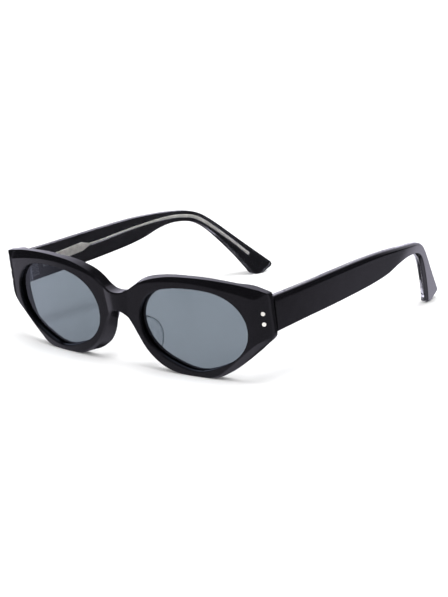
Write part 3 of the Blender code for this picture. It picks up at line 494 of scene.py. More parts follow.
def leaf_pocket(side):
    """Cutter for the hinge plate's pocket in the back of the end piece."""
    gap = LEAF_CLEARANCE
    depth = LEAF_SETBACK + LEAF_THICKNESS + gap
    low = (HINGE_X + LEAF_START - gap, BUTT_PLANE - depth, HINGE_Z - LEAF_HALF_HEIGHT - gap)
    high = (HINGE_X + LEAF_END + gap, BUTT_PLANE + CUTTER_REACH, HINGE_Z + LEAF_HALF_HEIGHT + gap)
    cutter = box("leaf_pocket", low, high)
    if side < 0:
        cutter.data.transform(OTHER_SIDE)
        cutter.data.flip_normals()
    return cutter


def floor_cutter():
    """Everything below the floor, in the front's own frame."""
    cutter = box("floor_cutter", (-FAR, -FAR, -FAR), (FAR, FAR, 0))
    matrix = Matrix.Rotation(-TILT, 4, "X") @ Matrix.Translation((0, 0, -FRONT_HEIGHT))
    cutter.data.transform(matrix)
    return cutter


def temple_leaf_pocket():
    """Cutter for the hinge plate's shallow seat, slanted like the left temple's inner face."""
    inner_x = TEMPLE_OUTER_X - TEMPLE_THICKNESS
    half = LEAF_HALF_HEIGHT - TEMPLE_LEAF_TRIM + LEAF_CLEARANCE
    end = BUTT_PLANE + BUTT_GAP + TEMPLE_LEAF_START + TEMPLE_LEAF_LENGTH + LEAF_CLEARANCE
    low = (inner_x - CUTTER_REACH, BUTT_PLANE - CUTTER_REACH, HINGE_Z - half)
    high = (inner_x + TEMPLE_LEAF_SUNK + LEAF_CLEARANCE, end, HINGE_Z + half)
    cutter = box("pocket", low, high)
    for vertex in cutter.data.vertices:
        vertex.co.x -= TEMPLE_TAPER * (vertex.co.y - TEMPLE_FRONT_Y)
    cutter.data.transform(front_matrix())
    return cutter


def drop_distance(y, z):
    """Distance past the ear bend along the dropping tip, eased in over the bend."""
    back, up = y - TEMPLE_BEND[0], z - TEMPLE_BEND[1]
    past = back * math.cos(TEMPLE_DROP) - up * math.sin(TEMPLE_DROP) - TIP_RAMP_CENTRE
    if past < -TIP_RAMP_HALF:
        return 0.0
    if past > TIP_RAMP_HALF:
        return past
    return (past + TIP_RAMP_HALF) ** 2 / (4 * TIP_RAMP_HALF)


def temple_shift(y, z):
    """How far the temple has come inwards at a point of its side view."""
    straight = TEMPLE_TAPER * (min(y, TEMPLE_BEND[0]) - TEMPLE_FRONT_Y)
    return straight + TIP_INSET_SLOPE * drop_distance(y, z)


def bend_temple(obj):
    for vertex in obj.data.vertices:
        vertex.co.x -= temple_shift(vertex.co.y, vertex.co.z)
    obj.data.update()


def temple_outline():
    top = smooth_run(TEMPLE_TOP, SIDE_STEP, after=TEMPLE_BOTTOM[0])
    link = smooth_run((TEMPLE_TOP[-1], TEMPLE_BOTTOM[0]), SIDE_STEP,
                      before=TEMPLE_TOP[-2], after=TEMPLE_BOTTOM[1])
    bottom = smooth_run(TEMPLE_BOTTOM, SIDE_STEP, before=TEMPLE_TOP[-1])
    return top + link + bottom + [TEMPLE_BOTTOM[-1]]


def butt_cutter():
    """Everything in front of the temple's front face."""
    cutter = box("butt", (0, -FAR, -FAR), (FAR, BUTT_PLANE + BUTT_GAP, FAR))
    cutter.data.transform(front_matrix())
    return cutter


def front_matrix():
    """From the front's own frame to the standing, leaning front."""
    return Matrix.Translation((0, 0, FRONT_HEIGHT)) @ Matrix.Rotation(TILT, 4, "X")


def wire_outline(extra):
    """Side outline of the core wire, grown by extra all round."""
    centre = smooth_run(WIRE_PATH[2:], SIDE_STEP)
    centre = list(WIRE_PATH[:2]) + centre + [WIRE_PATH[-1]]
    ends = {0: -extra, len(centre) - 1: extra}
    upper = []
    lower = []
    for i, ((y, z, half), along) in enumerate(zip(centre, run_directions(centre))):
        shift = ends.get(i, 0.0)
        y += along[0] * shift
        z += along[1] * shift
        reach = half + extra
        upper.append((y - along[1] * reach, z + along[0] * reach))
        lower.append((y + along[1] * reach, z - along[0] * reach))
    return upper + lower[::-1]


def wire_solid(name, stations):
    """Solid with the wire's side view; stations are (depth, growth) pairs."""
    rings = []
    for depth, growth in stations:
        rings.append([(TEMPLE_OUTER_X - depth, y, z) for y, z in wire_outline(growth)])
    return loft(name, rings)


# ---- fine shapes, mm ----
FACE_LIP = 1.2            # width of the face's own border ring
CORNER_REACH = 0.14       # rounding of the front's facet corners
BACK_REACH = 0.3          # and of its edge at the back
CORNER_STEPS = 5
CORNER_SHARE = 0.48       # a rounding takes up at most this share of a side
ROUND_OVER = 0.5          # rounding of the lens opening at the face
ROUND_STEPS = 7
FACE_SKIN = 0.02          # the opening's cutter stays straight this far before the face
SHEET_STEP = 1.0          # spacing of the cuts that let a mesh bend
BRIDGE_CUT_HEIGHTS = range(1, 14, 2)
CREASE_FILLET = (-0.9, -0.45, -0.2, 0.2, 0.45, 0.9)     # cuts beside the bridge crease
TEMPLE_CORNER = 0.4       # rounding of the outer face's facet
TEMPLE_FACE_RING = 1.0    # width of the border ring of the outer face
BOND_RING = 0.5           # of the two faces where the layers meet
TEMPLE_BACK_RING = 1.5    # and of the inner face
BOND_ROUND = 0.05
TEMPLE_CUTS = (25, 40, 55, 70, 82, 92)
WIRE_EDGE = 0.16          # bevel of the wire's edges
WIRE_TRIM = 0.15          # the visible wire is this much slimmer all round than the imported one
PAD_ROUNDS = 2            # levels of subdivision of the pads
SMOOTH_ANGLE = math.radians(28)
AREA_WEIGHT = 60
NORMAL_REACH = 0.25       # the face's slope is measured over twice this
FACE_SPREAD = math.radians(4)   # polygons this close to the face's slope belong to it


def smooth(obj):
    """Smooth shading with true sharp edges, normals weighted by face area."""
    mesh = obj.data
    mesh.shade_smooth()
    mesh.set_sharp_from_angle(angle=SMOOTH_ANGLE)
    weighted = obj.modifiers.new("weighted", "WEIGHTED_NORMAL")
    weighted.keep_sharp = True
    weighted.weight = AREA_WEIGHT
    return obj


def face_normal(x, z):
    """Direction in which the bent face looks at a point."""
    reach = NORMAL_REACH
    across = wrap_point(x + reach, 0.0, z) - wrap_point(x - reach, 0.0, z)
    upwards = wrap_point(x, 0.0, z + reach) - wrap_point(x, 0.0, z - reach)
    return across.cross(upwards).normalized()


def smooth_face(front):
    """Give the broad front face the exact normals of the curve it is bent to."""
    depsgraph = bpy.context.evaluated_depsgraph_get()
    mesh = bpy.data.meshes.new_from_object(
        front.evaluated_get(depsgraph), preserve_all_data_layers=True, depsgraph=depsgraph)
    normals = [corner.vector.copy() for corner in mesh.corner_normals]
    for polygon in mesh.polygons:
        for loop in polygon.loop_indices:
            exact = face_normal(*mesh.vertices[mesh.loops[loop].vertex_index].co.xz)
            if polygon.normal.dot(exact) > math.cos(FACE_SPREAD):
                normals[loop] = exact
    front.modifiers.clear()
    front.data = mesh
    mesh.normals_split_custom_set(normals)
    return front


def softened(corners, reaches):
    """Polyline through the corners, with every inner corner turned into a small curve."""
    line = []
    for i, reach in enumerate(reaches):
        before, corner, after = corners[i], corners[i + 1], corners[i + 2]
        ends = []
        for other in (before, after):
            length = math.hypot(other[0] - corner[0], other[1] - corner[1])
            share = min(reach, CORNER_SHARE * length) / length
            ends.append([corner[k] + share * (other[k] - corner[k]) for k in range(2)])
        for j in range(CORNER_STEPS):
            t = j / (CORNER_STEPS - 1)
            shares = ((1 - t) ** 2, 2 * t * (1 - t), t * t)
            line.append([shares[0] * ends[0][k] + shares[1] * corner[k] + shares[2] * ends[1][k]
                         for k in range(2)])
    return line


def rings_of(columns):
    """Turn one section per outline point into one ring per point of the section."""
    return [[column[k] for column in columns] for k in range(len(columns[0]))]


def front_columns():
    """For each outline point, the section of the front's edge from the face to the back."""
    edge = full_front_outline()
    columns = []
    back = FRONT_THICKNESS
    for point, normal in zip(edge, side_normals(edge)):
        width, flare = point[2], point[3]
        corners = [
            (width + FACE_LIP, 0.0), (width, 0.0), (0.0, width * EDGE_RATIO),
            (-flare, back), (-flare + FACE_LIP, back),
        ]
        line = softened(corners, (CORNER_REACH, CORNER_REACH, BACK_REACH))
        columns.append([(point[0] - normal[0] * inset, depth, point[1] - normal[1] * inset)
                        for inset, depth in line])
    return columns


def opening_stations():
    """Round-over at the face, straight wall, small chamfer at the back."""
    stations = [(-CUTTER_REACH, ROUND_OVER), (-FACE_SKIN, ROUND_OVER)]
    for i in range(1, ROUND_STEPS):
        angle = math.pi / 2 * i / (ROUND_STEPS - 1)
        stations.append((ROUND_OVER * (1 - math.cos(angle)), ROUND_OVER * (1 - math.sin(angle))))
    stations.append((FRONT_THICKNESS - OPENING_BACK_CHAMFER, 0.0))
    stations.append((FRONT_THICKNESS + CUTTER_REACH, CUTTER_REACH + OPENING_BACK_CHAMFER))
    return stations


def fine_cuts():
    """Planes that cut the flat front so finely that it bends smoothly."""
    cuts = []
    x = SHEET_STEP / 2
    while x < END_WIDTH:
        cuts += [((side * x, 0, 0), (1, 0, 0)) for side in (1, -1)]
        x += SHEET_STEP
    cuts += [((0, 0, z), (0, 0, 1)) for z in BRIDGE_CUT_HEIGHTS]
    run = CREASE_TOP[0] - CREASE_BOTTOM[0]
    rise = CREASE_TOP[1] - CREASE_BOTTOM[1]
    for side in (1, -1):
        normal = Vector((rise, 0, -side * run)).normalized()
        for offset in CREASE_FILLET:
            cuts.append(((side * CREASE_TOP[0] + offset, 0, CREASE_TOP[1]), normal))
    return cuts


def fine_front():
    """The front is built flat, bent, and then given its seats for hinges and rivets."""
    front = loft("front_shell", rings_of(front_columns()))
    for side in (1, -1):
        cut(front, lens_prism("through", side, opening_stations()))
        cut(front, lens_prism("groove", side, (
            (LENS_FRONT - GROOVE_CLEARANCE, GROOVE_DEPTH),
            (LENS_BACK + GROOVE_CLEARANCE, GROOVE_DEPTH))))
    slice_at(front, fine_cuts())
    tidy(front)
    wrap_mesh(front)
    cut(front, floor_cutter())
    for side in (1, -1):
        cut(front, leaf_pocket(side))
        for height in RIVET_HEIGHTS.values():
            cut(front, rivet_hole(side, height))
    tidy(front)
    return front


def fine_lens():
    lens = lens_prism("lens_glass_left", 1, [
        (LENS_FRONT, LENS_ENGAGEMENT - LENS_BEVEL), (LENS_FRONT + LENS_BEVEL, LENS_ENGAGEMENT),
        (LENS_BACK - LENS_BEVEL, LENS_ENGAGEMENT), (LENS_BACK, LENS_ENGAGEMENT - LENS_BEVEL),
    ])
    low = LENS_CENTRE - LENS_HALF_WIDTH
    count = int(2 * LENS_HALF_WIDTH / SHEET_STEP)
    slice_at(lens, [((low + i * SHEET_STEP, 0, 0), (1, 0, 0)) for i in range(count + 1)])
    tidy(lens)
    wrap_mesh(lens)
    return lens


def temple_columns(corner_of, reaches):
    """Sections of one temple layer's edge; corner_of gives their corners for a facet width."""
    outline = [(y, max(0.0, z), width) for y, z, width in temple_outline()]
    columns = []
    for (y, z, width), normal in zip(outline, side_normals(outline)):
        line = softened(corner_of(width), reaches)
        columns.append([(TEMPLE_OUTER_X - depth, y - normal[0] * inset, z - normal[1] * inset)
                        for inset, depth in line])
    return columns


def outer_corners(width):
    back = TEMPLE_OUTER_LAYER
    return [(width + TEMPLE_FACE_RING, 0.0), (width, 0.0), (0.0, TEMPLE_FACET_DEPTH),
            (0.0, back), (BOND_RING, back)]


def inner_corners(_width):
    front = TEMPLE_OUTER_LAYER + BOND_GAP
    back = TEMPLE_THICKNESS
    return [(BOND_RING, front), (0.0, front), (0.0, back), (TEMPLE_BACK_RING, back)]


def fine_temple_cuts():
    """Planes across the temple, close together over the ear bend."""
    cuts = [((0, y, 0), (0, 1, 0)) for y in TEMPLE_CUTS]
    downwards = Vector((0, math.cos(TEMPLE_DROP), -math.sin(TEMPLE_DROP)))
    bend = Vector((0, TEMPLE_BEND[0], TEMPLE_BEND[1]))
    along = TIP_RAMP_CENTRE - TIP_RAMP_HALF
    while along <= TIP_RAMP_CENTRE + TIP_RAMP_HALF + SHEET_STEP:
        cuts.append((bend + downwards * along, downwards))
        along += SHEET_STEP
    return cuts


def fine_temple_layers():
    """Black outer layer and clear inner layer of the left temple."""
    outer_edge = temple_columns(outer_corners, (TEMPLE_CORNER, TEMPLE_CORNER, BOND_ROUND))
    inner_edge = temple_columns(inner_corners, (BOND_ROUND, TEMPLE_ROUND))
    outer = loft("temple_black_left", rings_of(outer_edge))
    inner = loft("temple_clear_left", rings_of(inner_edge))
    start = TEMPLE_OUTER_LAYER + BOND_GAP
    end = start + WIRE_BED + WIRE_THICKNESS + WIRE_COVER
    cut(inner, wire_solid("channel", (
        (start - CUTTER_REACH, WIRE_CLEARANCE), (end, WIRE_CLEARANCE))))
    for layer in (outer, inner):
        slice_at(layer, fine_temple_cuts())
        tidy(layer)
        bend_temple(layer)
        cut(layer, butt_cutter())
    cut(inner, temple_leaf_pocket())
    for layer in (outer, inner):
        tidy(layer)
    return outer, inner


def fine_wire():
    """Flat core wire of the left temple, with the ribbed shoe at its front end."""
    front = TEMPLE_OUTER_LAYER + BOND_GAP + WIRE_BED
    back = front + WIRE_THICKNESS
    edge = -WIRE_EDGE - WIRE_TRIM
    wire = wire_solid("wire_left", ((front, edge), (front + WIRE_EDGE, -WIRE_TRIM),
                                    (back - WIRE_EDGE, -WIRE_TRIM), (back, edge)))
    start, end = WIRE_PATH[0], WIRE_PATH[1]
    slope = math.atan2(end[1] - start[1], end[0] - start[0])
    place = Matrix.Translation((TEMPLE_OUTER_X - back + SHOE_GROOVE_DEPTH, start[0], start[1]))
    half = SHOE_GROOVE_WIDTH / 2
    for i in range(SHOE_GROOVES):
        level = (i - (SHOE_GROOVES - 1) / 2) * SHOE_GROOVE_PITCH
        low = (-CUTTER_REACH, SHOE_GROOVE_END - SHOE_GROOVE_LENGTH, level - half)
        groove = box("groove", low, (0, SHOE_GROOVE_END, level + half))
        groove.data.transform(place @ Matrix.Rotation(slope, 4, "X"))
        cut(wire, groove)
    slice_at(wire, fine_temple_cuts())
    tidy(wire)
    bend_temple(wire)
    return wire


def fine_pad():
    """Left nose pad: the section of PAD_SECTION carried along PAD_PATH."""
    path = smooth_run(PAD_PATH, PAD_STEP)
    path.append(PAD_PATH[-1])
    rings = []
    for i, ((x, z), along) in enumerate(zip(path, run_directions(path))):
        swell = math.sin(math.pi * (i + 0.5) / len(path))
        reach = PAD_REACH * swell ** PAD_FULLNESS
        half = PAD_BASE / 2 * (PAD_END_WIDTH + (1.0 - PAD_END_WIDTH) * swell)
        ring = []
        for across, back in PAD_SECTION:
            offset = half * (1.0 + across * (1.0 - PAD_NARROWING * back)) + PAD_FLARE * reach * back
            pad_x = x - along[1] * offset
            depth = FRONT_THICKNESS + PAD_GAP + reach * back
            ring.append((pad_x, WRAP * pad_x * pad_x + depth, z + along[0] * offset))
        rings.append(ring)
    pad = loft("pad_left", rings)
    pad.data.shade_smooth()
    return pad


def rounded(obj):
    rounding = obj.modifiers.new("round", "SUBSURF")
    rounding.levels = PAD_ROUNDS
    rounding.render_levels = PAD_ROUNDS


# ---- node materials ----
BLACK_LOW = (0.0022, 0.0021, 0.0026, 1)
BLACK_HIGH = (0.0042, 0.0041, 0.0052, 1)
BLACK_ROUGHNESS = (0.05, 0.10)
BUFFING_ROUGHNESS = 0.03
WORN_ROUGHNESS = 0.08
ACETATE_INDEX = 1.48

CLEAR_LOW = (0.93, 0.94, 0.945, 1)
CLEAR_HIGH = tuple(min(1.0, c * 1.04) for c in CLEAR_LOW[:3]) + (1,)
CLEAR_ROUGHNESS = (0.02, 0.05)
CLEAR_INDEX = 1.47

PAD_CLEAR = (0.97, 0.975, 0.98, 1)
# painted shade for the pad's edges: where the surface turns away, the see-through colour darkens to
# this, standing in for the black rim seen through the edges
PAD_PAINTED_EDGE_SHADE = (0.04, 0.04, 0.05, 1)
PAD_PAINTED_SHADE_TURN = (0.18, 0.5)      # the painted edge shade sets in between these two facing values
PAD_ROUGHNESS = (0.03, 0.07)
PAD_INDEX = 1.35

# transmission of one lens surface; light crosses two of them
LENS_TONE_LOW = (0.394, 0.427, 0.460, 1)
LENS_TONE_HIGH = (0.411, 0.444, 0.477, 1)
LENS_SHINE = (0.9, 0.93, 1.0, 1)
LENS_ROUGHNESS = (0.02, 0.07)
LENS_INDEX = 1.4

HINGE_TONE = (0.72, 0.71, 0.69)
HINGE_ROUGHNESS = 0.22
HINGE_METALLIC = 1.0
WIRE_TONE = (0.93, 0.9, 0.84)
WIRE_ROUGHNESS = 0.3
WIRE_METALLIC = 0.15        # low, since it mirrors little of the room through the clear layer
STAIN_SHARE = 0.8           # brightness left in a stain
STREAK_ROUGHNESS = 0.12


class Nodes:
    """Small helper that adds and links shader nodes of one tree."""

    def __init__(self, tree):
        self.tree = tree

    def add(self, kind, inputs=None, **settings):
        node = self.tree.nodes.new("ShaderNode" + kind)
        for key, value in settings.items():
            setattr(node, key, value)
        for key, value in (inputs or {}).items():
            self.put(node.inputs[key], value)
        return node

    def put(self, socket, value):
        if isinstance(value, bpy.types.NodeSocket):
            self.tree.links.new(value, socket)
        else:
            socket.default_value = value

    def math(self, operation, a, b=0.0):
        node = self.add("Math", operation=operation)
        self.put(node.inputs[0], a)
        self.put(node.inputs[1], b)
        return node.outputs[0]

    def ramp(self, value, low, high, to_low=0.0, to_high=1.0, kind="SMOOTHSTEP"):
        node = self.add("MapRange", interpolation_type=kind)
        for key, entry in (("Value", value), ("From Min", low), ("From Max", high),
                           ("To Min", to_low), ("To Max", to_high)):
            self.put(node.inputs[key], entry)
        return node.outputs["Result"]

    def noise(self, vector, scale, detail=3.0, roughness=0.5):
        node = self.add("TexNoise", {"Scale": scale, "Detail": detail, "Roughness": roughness})
        self.put(node.inputs["Vector"], vector)
        return node.outputs["Fac"]

    def place(self):
        return self.add("TexCoord").outputs["Object"]

    def streaks(self, place, scales, detail):
        """Noise drawn out along one axis."""
        stretch = self.add("Mapping", {"Vector": place, "Scale": scales})
        return self.noise(stretch.outputs["Vector"], 1.0, detail)

    def colour(self, share, first, second):
        node = self.add("Mix", {"Factor": share}, data_type="RGBA")
        self.put(node.inputs["A"], first)
        self.put(node.inputs["B"], second)
        return node.outputs["Result"]

    def bump(self, strength, distance, height):
        node = self.add("Bump", {"Strength": strength, "Distance": distance, "Height": height})
        return node.outputs["Normal"]

    def mix(self, share, first, second):
        node = self.add("MixShader", {"Fac": share})
        self.tree.links.new(first.outputs[0], node.inputs[1])
        self.tree.links.new(second.outputs[0], node.inputs[2])
        return node.outputs["Shader"]

    def outer_mirror(self, index, through, shine, **normal):
        """Shine by Fresnel over a see-through shader, on the outside of the surface only."""
        share = self.add("Fresnel", {"IOR": index, **normal}).outputs["Fac"]
        outside = self.math("SUBTRACT", 1.0, self.add("NewGeometry").outputs["Backfacing"])
        return self.mix(self.math("MULTIPLY", share, outside), through, shine)

    def cone(self, sight, azimuth, elevation, inner, outer, low, high):
        """From low to high as the sight line comes within a cone about a direction."""
        dot = self.add("VectorMath", operation="DOT_PRODUCT")
        self.put(dot.inputs[0], sight)
        self.put(dot.inputs[1], direction(azimuth, elevation))
        edge, core = math.cos(math.radians(outer)), math.cos(math.radians(inner))
        return self.ramp(dot.outputs["Value"], edge, core, low, high)


def new_material(name):
    made = bpy.data.materials.new(name)
    made.use_nodes = True
    made.node_tree.nodes.clear()
    return made, Nodes(made.node_tree)


def end_with(nodes, shader):
    output = nodes.add("OutputMaterial")
    nodes.tree.links.new(shader, output.inputs["Surface"])


def black_acetate():
    """Deep black polished acetate: faint mottling, buffing haze and worn edges."""
    made, n = new_material("polished_black_acetate")
    place = n.place()
    cloud = n.noise(place, 90.0, 4.0)
    haze = n.noise(place, 900.0, 5.0, 0.6)
    buffing = n.streaks(place, (300.0, 2600.0, 5200.0), 2.0)
    tone = n.add("ValToRGB", {"Fac": cloud})
    tone.color_ramp.elements[0].color = BLACK_LOW
    tone.color_ramp.elements[1].color = BLACK_HIGH
    rough = n.math("ADD", n.ramp(haze, 0.35, 0.75, *BLACK_ROUGHNESS),
                   n.ramp(buffing, 0.5, 0.8, 0.0, BUFFING_ROUGHNESS))
    edge = n.add("NewGeometry").outputs["Pointiness"]
    worn = n.math("ADD", rough, n.ramp(edge, 0.52, 0.6, 0.0, WORN_ROUGHNESS))
    height = n.math("ADD", cloud, n.math("MULTIPLY", haze, 0.06))
    shader = n.add("BsdfPrincipled", {
        "Base Color": tone.outputs["Color"], "Roughness": worn, "IOR": ACETATE_INDEX,
        "Normal": n.bump(0.06, 0.0004, height)})
    end_with(n, shader.outputs["BSDF"])
    return made


def clear_pad():
    """Moulded clear pad: see-through, with painted shade on its edges where the surface turns away,
    standing in for the black rim seen through them.
    """
    made, n = new_material("clear_pad")
    flow = n.noise(n.place(), 260.0)
    normal = n.bump(0.08, 0.0003, flow)
    facing = n.add("LayerWeight", {"Blend": 0.5, "Normal": normal}).outputs["Facing"]
    # painted shade: the see-through colour goes dark where the surface turns away from the view
    tone = n.colour(n.ramp(facing, *PAD_PAINTED_SHADE_TURN), PAD_CLEAR, PAD_PAINTED_EDGE_SHADE)
    through = n.add("BsdfTransparent", {"Color": tone})
    rough = n.ramp(flow, 0.3, 0.7, *PAD_ROUGHNESS)
    shine = n.add("BsdfGlossy", {"Roughness": rough, "Normal": normal})
    end_with(n, n.outer_mirror(PAD_INDEX, through, shine, Normal=normal))
    return made


def clear_acetate():
    """Water-clear acetate with a faint grey cast and tiny flow lines."""
    made, n = new_material("clear_acetate")
    place = n.place()
    flow = n.noise(place, 160.0)
    fine = n.noise(place, 1400.0)
    shader = n.add("BsdfPrincipled", {
        "Base Color": n.colour(n.ramp(flow, 0.3, 0.7), CLEAR_LOW, CLEAR_HIGH),
        "Roughness": n.ramp(fine, 0.3, 0.8, *CLEAR_ROUGHNESS), "IOR": CLEAR_INDEX,
        "Transmission Weight": 1.0, "Normal": n.bump(0.05, 0.0003, flow)})
    end_with(n, shader.outputs["BSDF"])
    return made


def tinted_lens():
    """Thin blue-grey lens: it tints what lies behind and mirrors a little at a slant."""
    made, n = new_material("blue_grey_lens")
    place = n.place()
    cloud = n.noise(place, 35.0, 2.0)
    tone = n.colour(n.ramp(cloud, 0.3, 0.7), LENS_TONE_LOW, LENS_TONE_HIGH)
    through = n.add("BsdfTransparent", {"Color": tone})
    mark = n.noise(place, 700.0, 4.0)
    rough = n.ramp(mark, 0.4, 0.8, *LENS_ROUGHNESS)
    shine = n.add("BsdfGlossy", {"Color": LENS_SHINE, "Roughness": rough})
    end_with(n, n.outer_mirror(LENS_INDEX, through, shine))
    return made


def silver(name, tone, rough, metallic):
    """Nickel silver with drawn streaks and faint stains."""
    made, n = new_material(name)
    place = n.place()
    streak = n.streaks(place, (4000.0, 250.0, 4000.0), 3.0)
    stain = n.noise(place, 500.0)
    dark = tuple(c * STAIN_SHARE for c in tone) + (1,)
    shader = n.add("BsdfPrincipled", {
        "Base Color": n.colour(n.ramp(stain, 0.35, 0.7), dark, tone + (1,)), "Metallic": metallic,
        "Roughness": n.ramp(streak, 0.3, 0.7, rough, rough + STREAK_ROUGHNESS),
        "Normal": n.bump(0.25, 0.00003, streak)})
    end_with(n, shader.outputs["BSDF"])
    return made


# ---- studio ----
def direction(azimuth, elevation):
    a, e = math.radians(azimuth), math.radians(elevation)
    return (math.sin(a) * math.cos(e), -math.cos(a) * math.cos(e), math.sin(e))


# what polished surfaces mirror: azimuth, elevation, inner and outer angle, strength
MIRRORED = (
    (-80, -22, 5, 22, 0.42),      # white card on the wearer's right
    (-146, 20, 22, 52, 1.0),      # white background behind that
    (-12, -36, 48, 72, 0.28),     # floor in front
    (168, -18, 21, 25.5, 0.46),   # card behind, seen in the facets
    (180, -28, 10, 26, 0.62),     # floor behind
    (80, -22, 10, 45, 0.35),      # floor on the wearer's left
    (118, -14, 10, 30, 0.085),    # floor and wall between the temples
    (0, -85, 10, 40, 0.5),        # floor below
    (90, 76, 10, 16, 2.4),        # softbox overhead
)
MIRRORED_BASE = 0.03
MIRRORED_TINT = (0.97, 0.94, 1.12, 1)

# what lights everything else: plain white all round and a softbox overhead
WORLD_LIGHT = 1.15
SOFTBOX = (90, 76, 10, 20)        # azimuth, elevation, inner and outer angle
SOFTBOX_LIGHT = 9.0

FLOOR_HALF = 6.0                  # m
FLOOR_SINK = 0.00002              # m, keeps the floor clear of the tips that rest on it
FLOOR_LOW = (0.83, 0.83, 0.835, 1)
FLOOR_HIGH = (0.85, 0.85, 0.855, 1)


def studio_group():
    """Brightness that a mirrored ray finds in a direction."""
    tree = bpy.data.node_groups.new("studio", "ShaderNodeTree")
    tree.interface.new_socket("Direction", in_out="INPUT", socket_type="NodeSocketVector")
    tree.interface.new_socket("Light", in_out="OUTPUT", socket_type="NodeSocketFloat")
    n = Nodes(tree)
    start = tree.nodes.new("NodeGroupInput")
    total = MIRRORED_BASE
    for azimuth, elevation, inner, outer, strength in MIRRORED:
        lobe = n.cone(start.outputs[0], azimuth, elevation, inner, outer, 0.0, strength)
        total = n.math("ADD", lobe, total)
    end = tree.nodes.new("NodeGroupOutput")
    tree.links.new(total, end.inputs[0])
    return tree


def mirrored_light(n, group, sight):
    studio = n.add("Group")
    studio.node_tree = group
    n.put(studio.inputs[0], sight)
    return studio.outputs[0]


def make_world(group):
    """Mirrored rays find the studio, all others the plain white world and its softbox."""
    world = bpy.data.worlds.new("studio_world")
    bpy.context.scene.world = world
    world.use_nodes = True
    world.node_tree.nodes.clear()
    n = Nodes(world.node_tree)
    sight = n.add("TexCoord").outputs["Generated"]
    light = mirrored_light(n, group, sight)
    path = n.add("LightPath")
    fresh = n.math("LESS_THAN", path.outputs["Diffuse Depth"], 0.5)
    glossy = n.math("MULTIPLY", path.outputs["Is Glossy Ray"], fresh)
    box_light = n.cone(sight, *SOFTBOX, WORLD_LIGHT, SOFTBOX_LIGHT)
    plain = n.add("Background", {"Color": (1, 1, 1, 1), "Strength": box_light})
    mirrored = n.add("Background", {"Color": MIRRORED_TINT, "Strength": light})
    output = n.add("OutputWorld")
    n.tree.links.new(n.mix(glossy, plain, mirrored), output.inputs["Surface"])


def make_floor(group):
    """Pale floor that takes the shadows; mirrored rays find the studio in it."""
    mesh = bpy.data.meshes.new("floor")
    bm = bmesh.new()
    bmesh.ops.create_grid(bm, x_segments=1, y_segments=1, size=FLOOR_HALF)
    bm.to_mesh(mesh)
    bm.free()
    floor = bpy.data.objects.new("floor", mesh)
    bpy.context.scene.collection.objects.link(floor)
    floor.location.z = -FLOOR_SINK
    made, n = new_material("pale_floor")
    grain = n.noise(n.place(), 60.0)
    plain = n.add("BsdfDiffuse", {"Color": n.colour(grain, FLOOR_LOW, FLOOR_HIGH)})
    ahead = n.add("VectorMath", operation="SCALE")
    n.put(ahead.inputs[0], n.add("NewGeometry").outputs["Incoming"])
    n.put(ahead.inputs["Scale"], -1.0)
    light = mirrored_light(n, group, ahead.outputs[0])
    mirrored = n.add("Emission", {"Color": MIRRORED_TINT, "Strength": light})
    end_with(n, n.mix(n.add("LightPath").outputs["Is Glossy Ray"], plain, mirrored))
    mesh.materials.append(made)


# the view: azimuth, elevation and roll in degrees, distance and aim in metres
VIEW_AZIMUTH = 43.125
VIEW_ELEVATION = 15.008
VIEW_ROLL = -3.7855
VIEW_DISTANCE = 0.8536086
VIEW_AIM = (0.0285474, -0.03957, 0.0234381)
VIEW_LENS = 132.352           # mm, as is the next
VIEW_SENSOR = 36.0
VIEW_CLIP = (0.05, 20.0)      # m


def make_camera():
    back = Vector(direction(VIEW_AZIMUTH, VIEW_ELEVATION))
    right = (-back).cross(Vector((0, 0, 1))).normalized()
    up = right.cross(-back)
    roll = math.radians(VIEW_ROLL)
    turned_right = right * math.cos(roll) + up * math.sin(roll)
    turned_up = up * math.cos(roll) - right * math.sin(roll)
    data = bpy.data.cameras.new("camera")
    data.lens = VIEW_LENS
    data.sensor_width = VIEW_SENSOR
    data.clip_start, data.clip_end = VIEW_CLIP
    camera = bpy.data.objects.new("camera", data)
    bpy.context.scene.collection.objects.link(camera)
    axes = Matrix((turned_right, turned_up, back)).transposed().to_4x4()
    camera.matrix_world = Matrix.Translation(Vector(VIEW_AIM) + back * VIEW_DISTANCE) @ axes
    bpy.context.scene.camera = camera


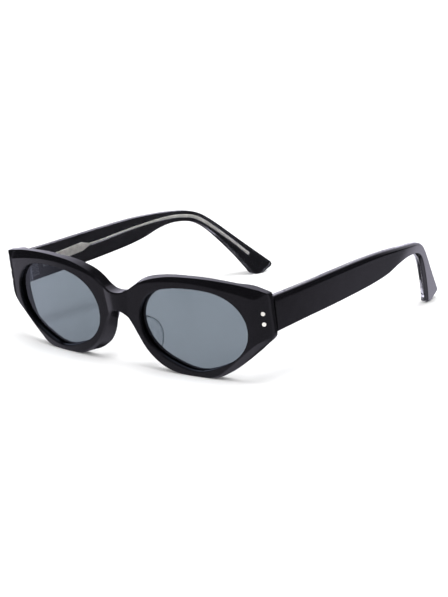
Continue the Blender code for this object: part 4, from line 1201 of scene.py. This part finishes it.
# ---- assembly ----
def finish(obj, matrix, body, stands_for, look):
    """Bring a piece from mm to metres, dress it and let it ride on its body."""
    middle = Matrix.Translation((0, -MIDDLE_Y, 0))
    obj.data.transform(Matrix.Scale(MM, 4) @ middle @ matrix)
    obj.data.materials.clear()
    obj.data.materials.append(look)
    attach(obj, body)
    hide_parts(stands_for)


def both_sides(obj, matrix, bodies, stands_for, look, shade=smooth):
    """The left piece and its mirror image, each shaded and finished."""
    other = mirrored_copy(obj, obj.name.replace("_left", "_right"))
    other_node = stands_for.replace("_left", "_right")
    for piece, place, body, node in (
            (obj, matrix, bodies[0], stands_for),
            (other, OTHER_SIDE @ matrix @ OTHER_SIDE, bodies[1], other_node)):
        shade(piece)
        finish(piece, place, body, node, look)


def build_pieces():
    same = Matrix.Identity(4)
    face = front_matrix()
    black = black_acetate()
    clear = clear_acetate()
    pad_look = clear_pad()
    glass = tinted_lens()
    metal = silver("nickel_silver_hinge", HINGE_TONE, HINGE_ROUGHNESS, HINGE_METALLIC)
    wire_look = silver("nickel_silver_wire", WIRE_TONE, WIRE_ROUGHNESS, WIRE_METALLIC)

    front = smooth_face(smooth(fine_front()))
    finish(front, face, "front", "front_rim", black)
    fronts = ("front", "front")
    temples = ("temple_left", "temple_right")
    both_sides(fine_lens(), face, fronts, "lens_left", glass)
    both_sides(fine_pad(), face, fronts, "nose_pad_left", pad_look, rounded)
    for place, height in RIVET_HEIGHTS.items():
        rivet = rivet_solid("rivet_%s_left" % place, height)
        both_sides(rivet, face, fronts, "front_rivet_%s_left" % place, wire_look)
    outer, inner = fine_temple_layers()
    both_sides(outer, same, temples, "temple_outer_left", black)
    both_sides(inner, same, temples, "temple_inner_left", clear)
    both_sides(fine_wire(), same, temples, "core_wire_left", wire_look)
    for name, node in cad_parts.items():
        if "hinge" in name:
            node.data.materials.clear()
            node.data.materials.append(metal)


build_pieces()
studio = studio_group()
make_world(studio)
make_floor(studio)
make_camera()
bpy.context.scene.view_settings.view_transform = "Standard"
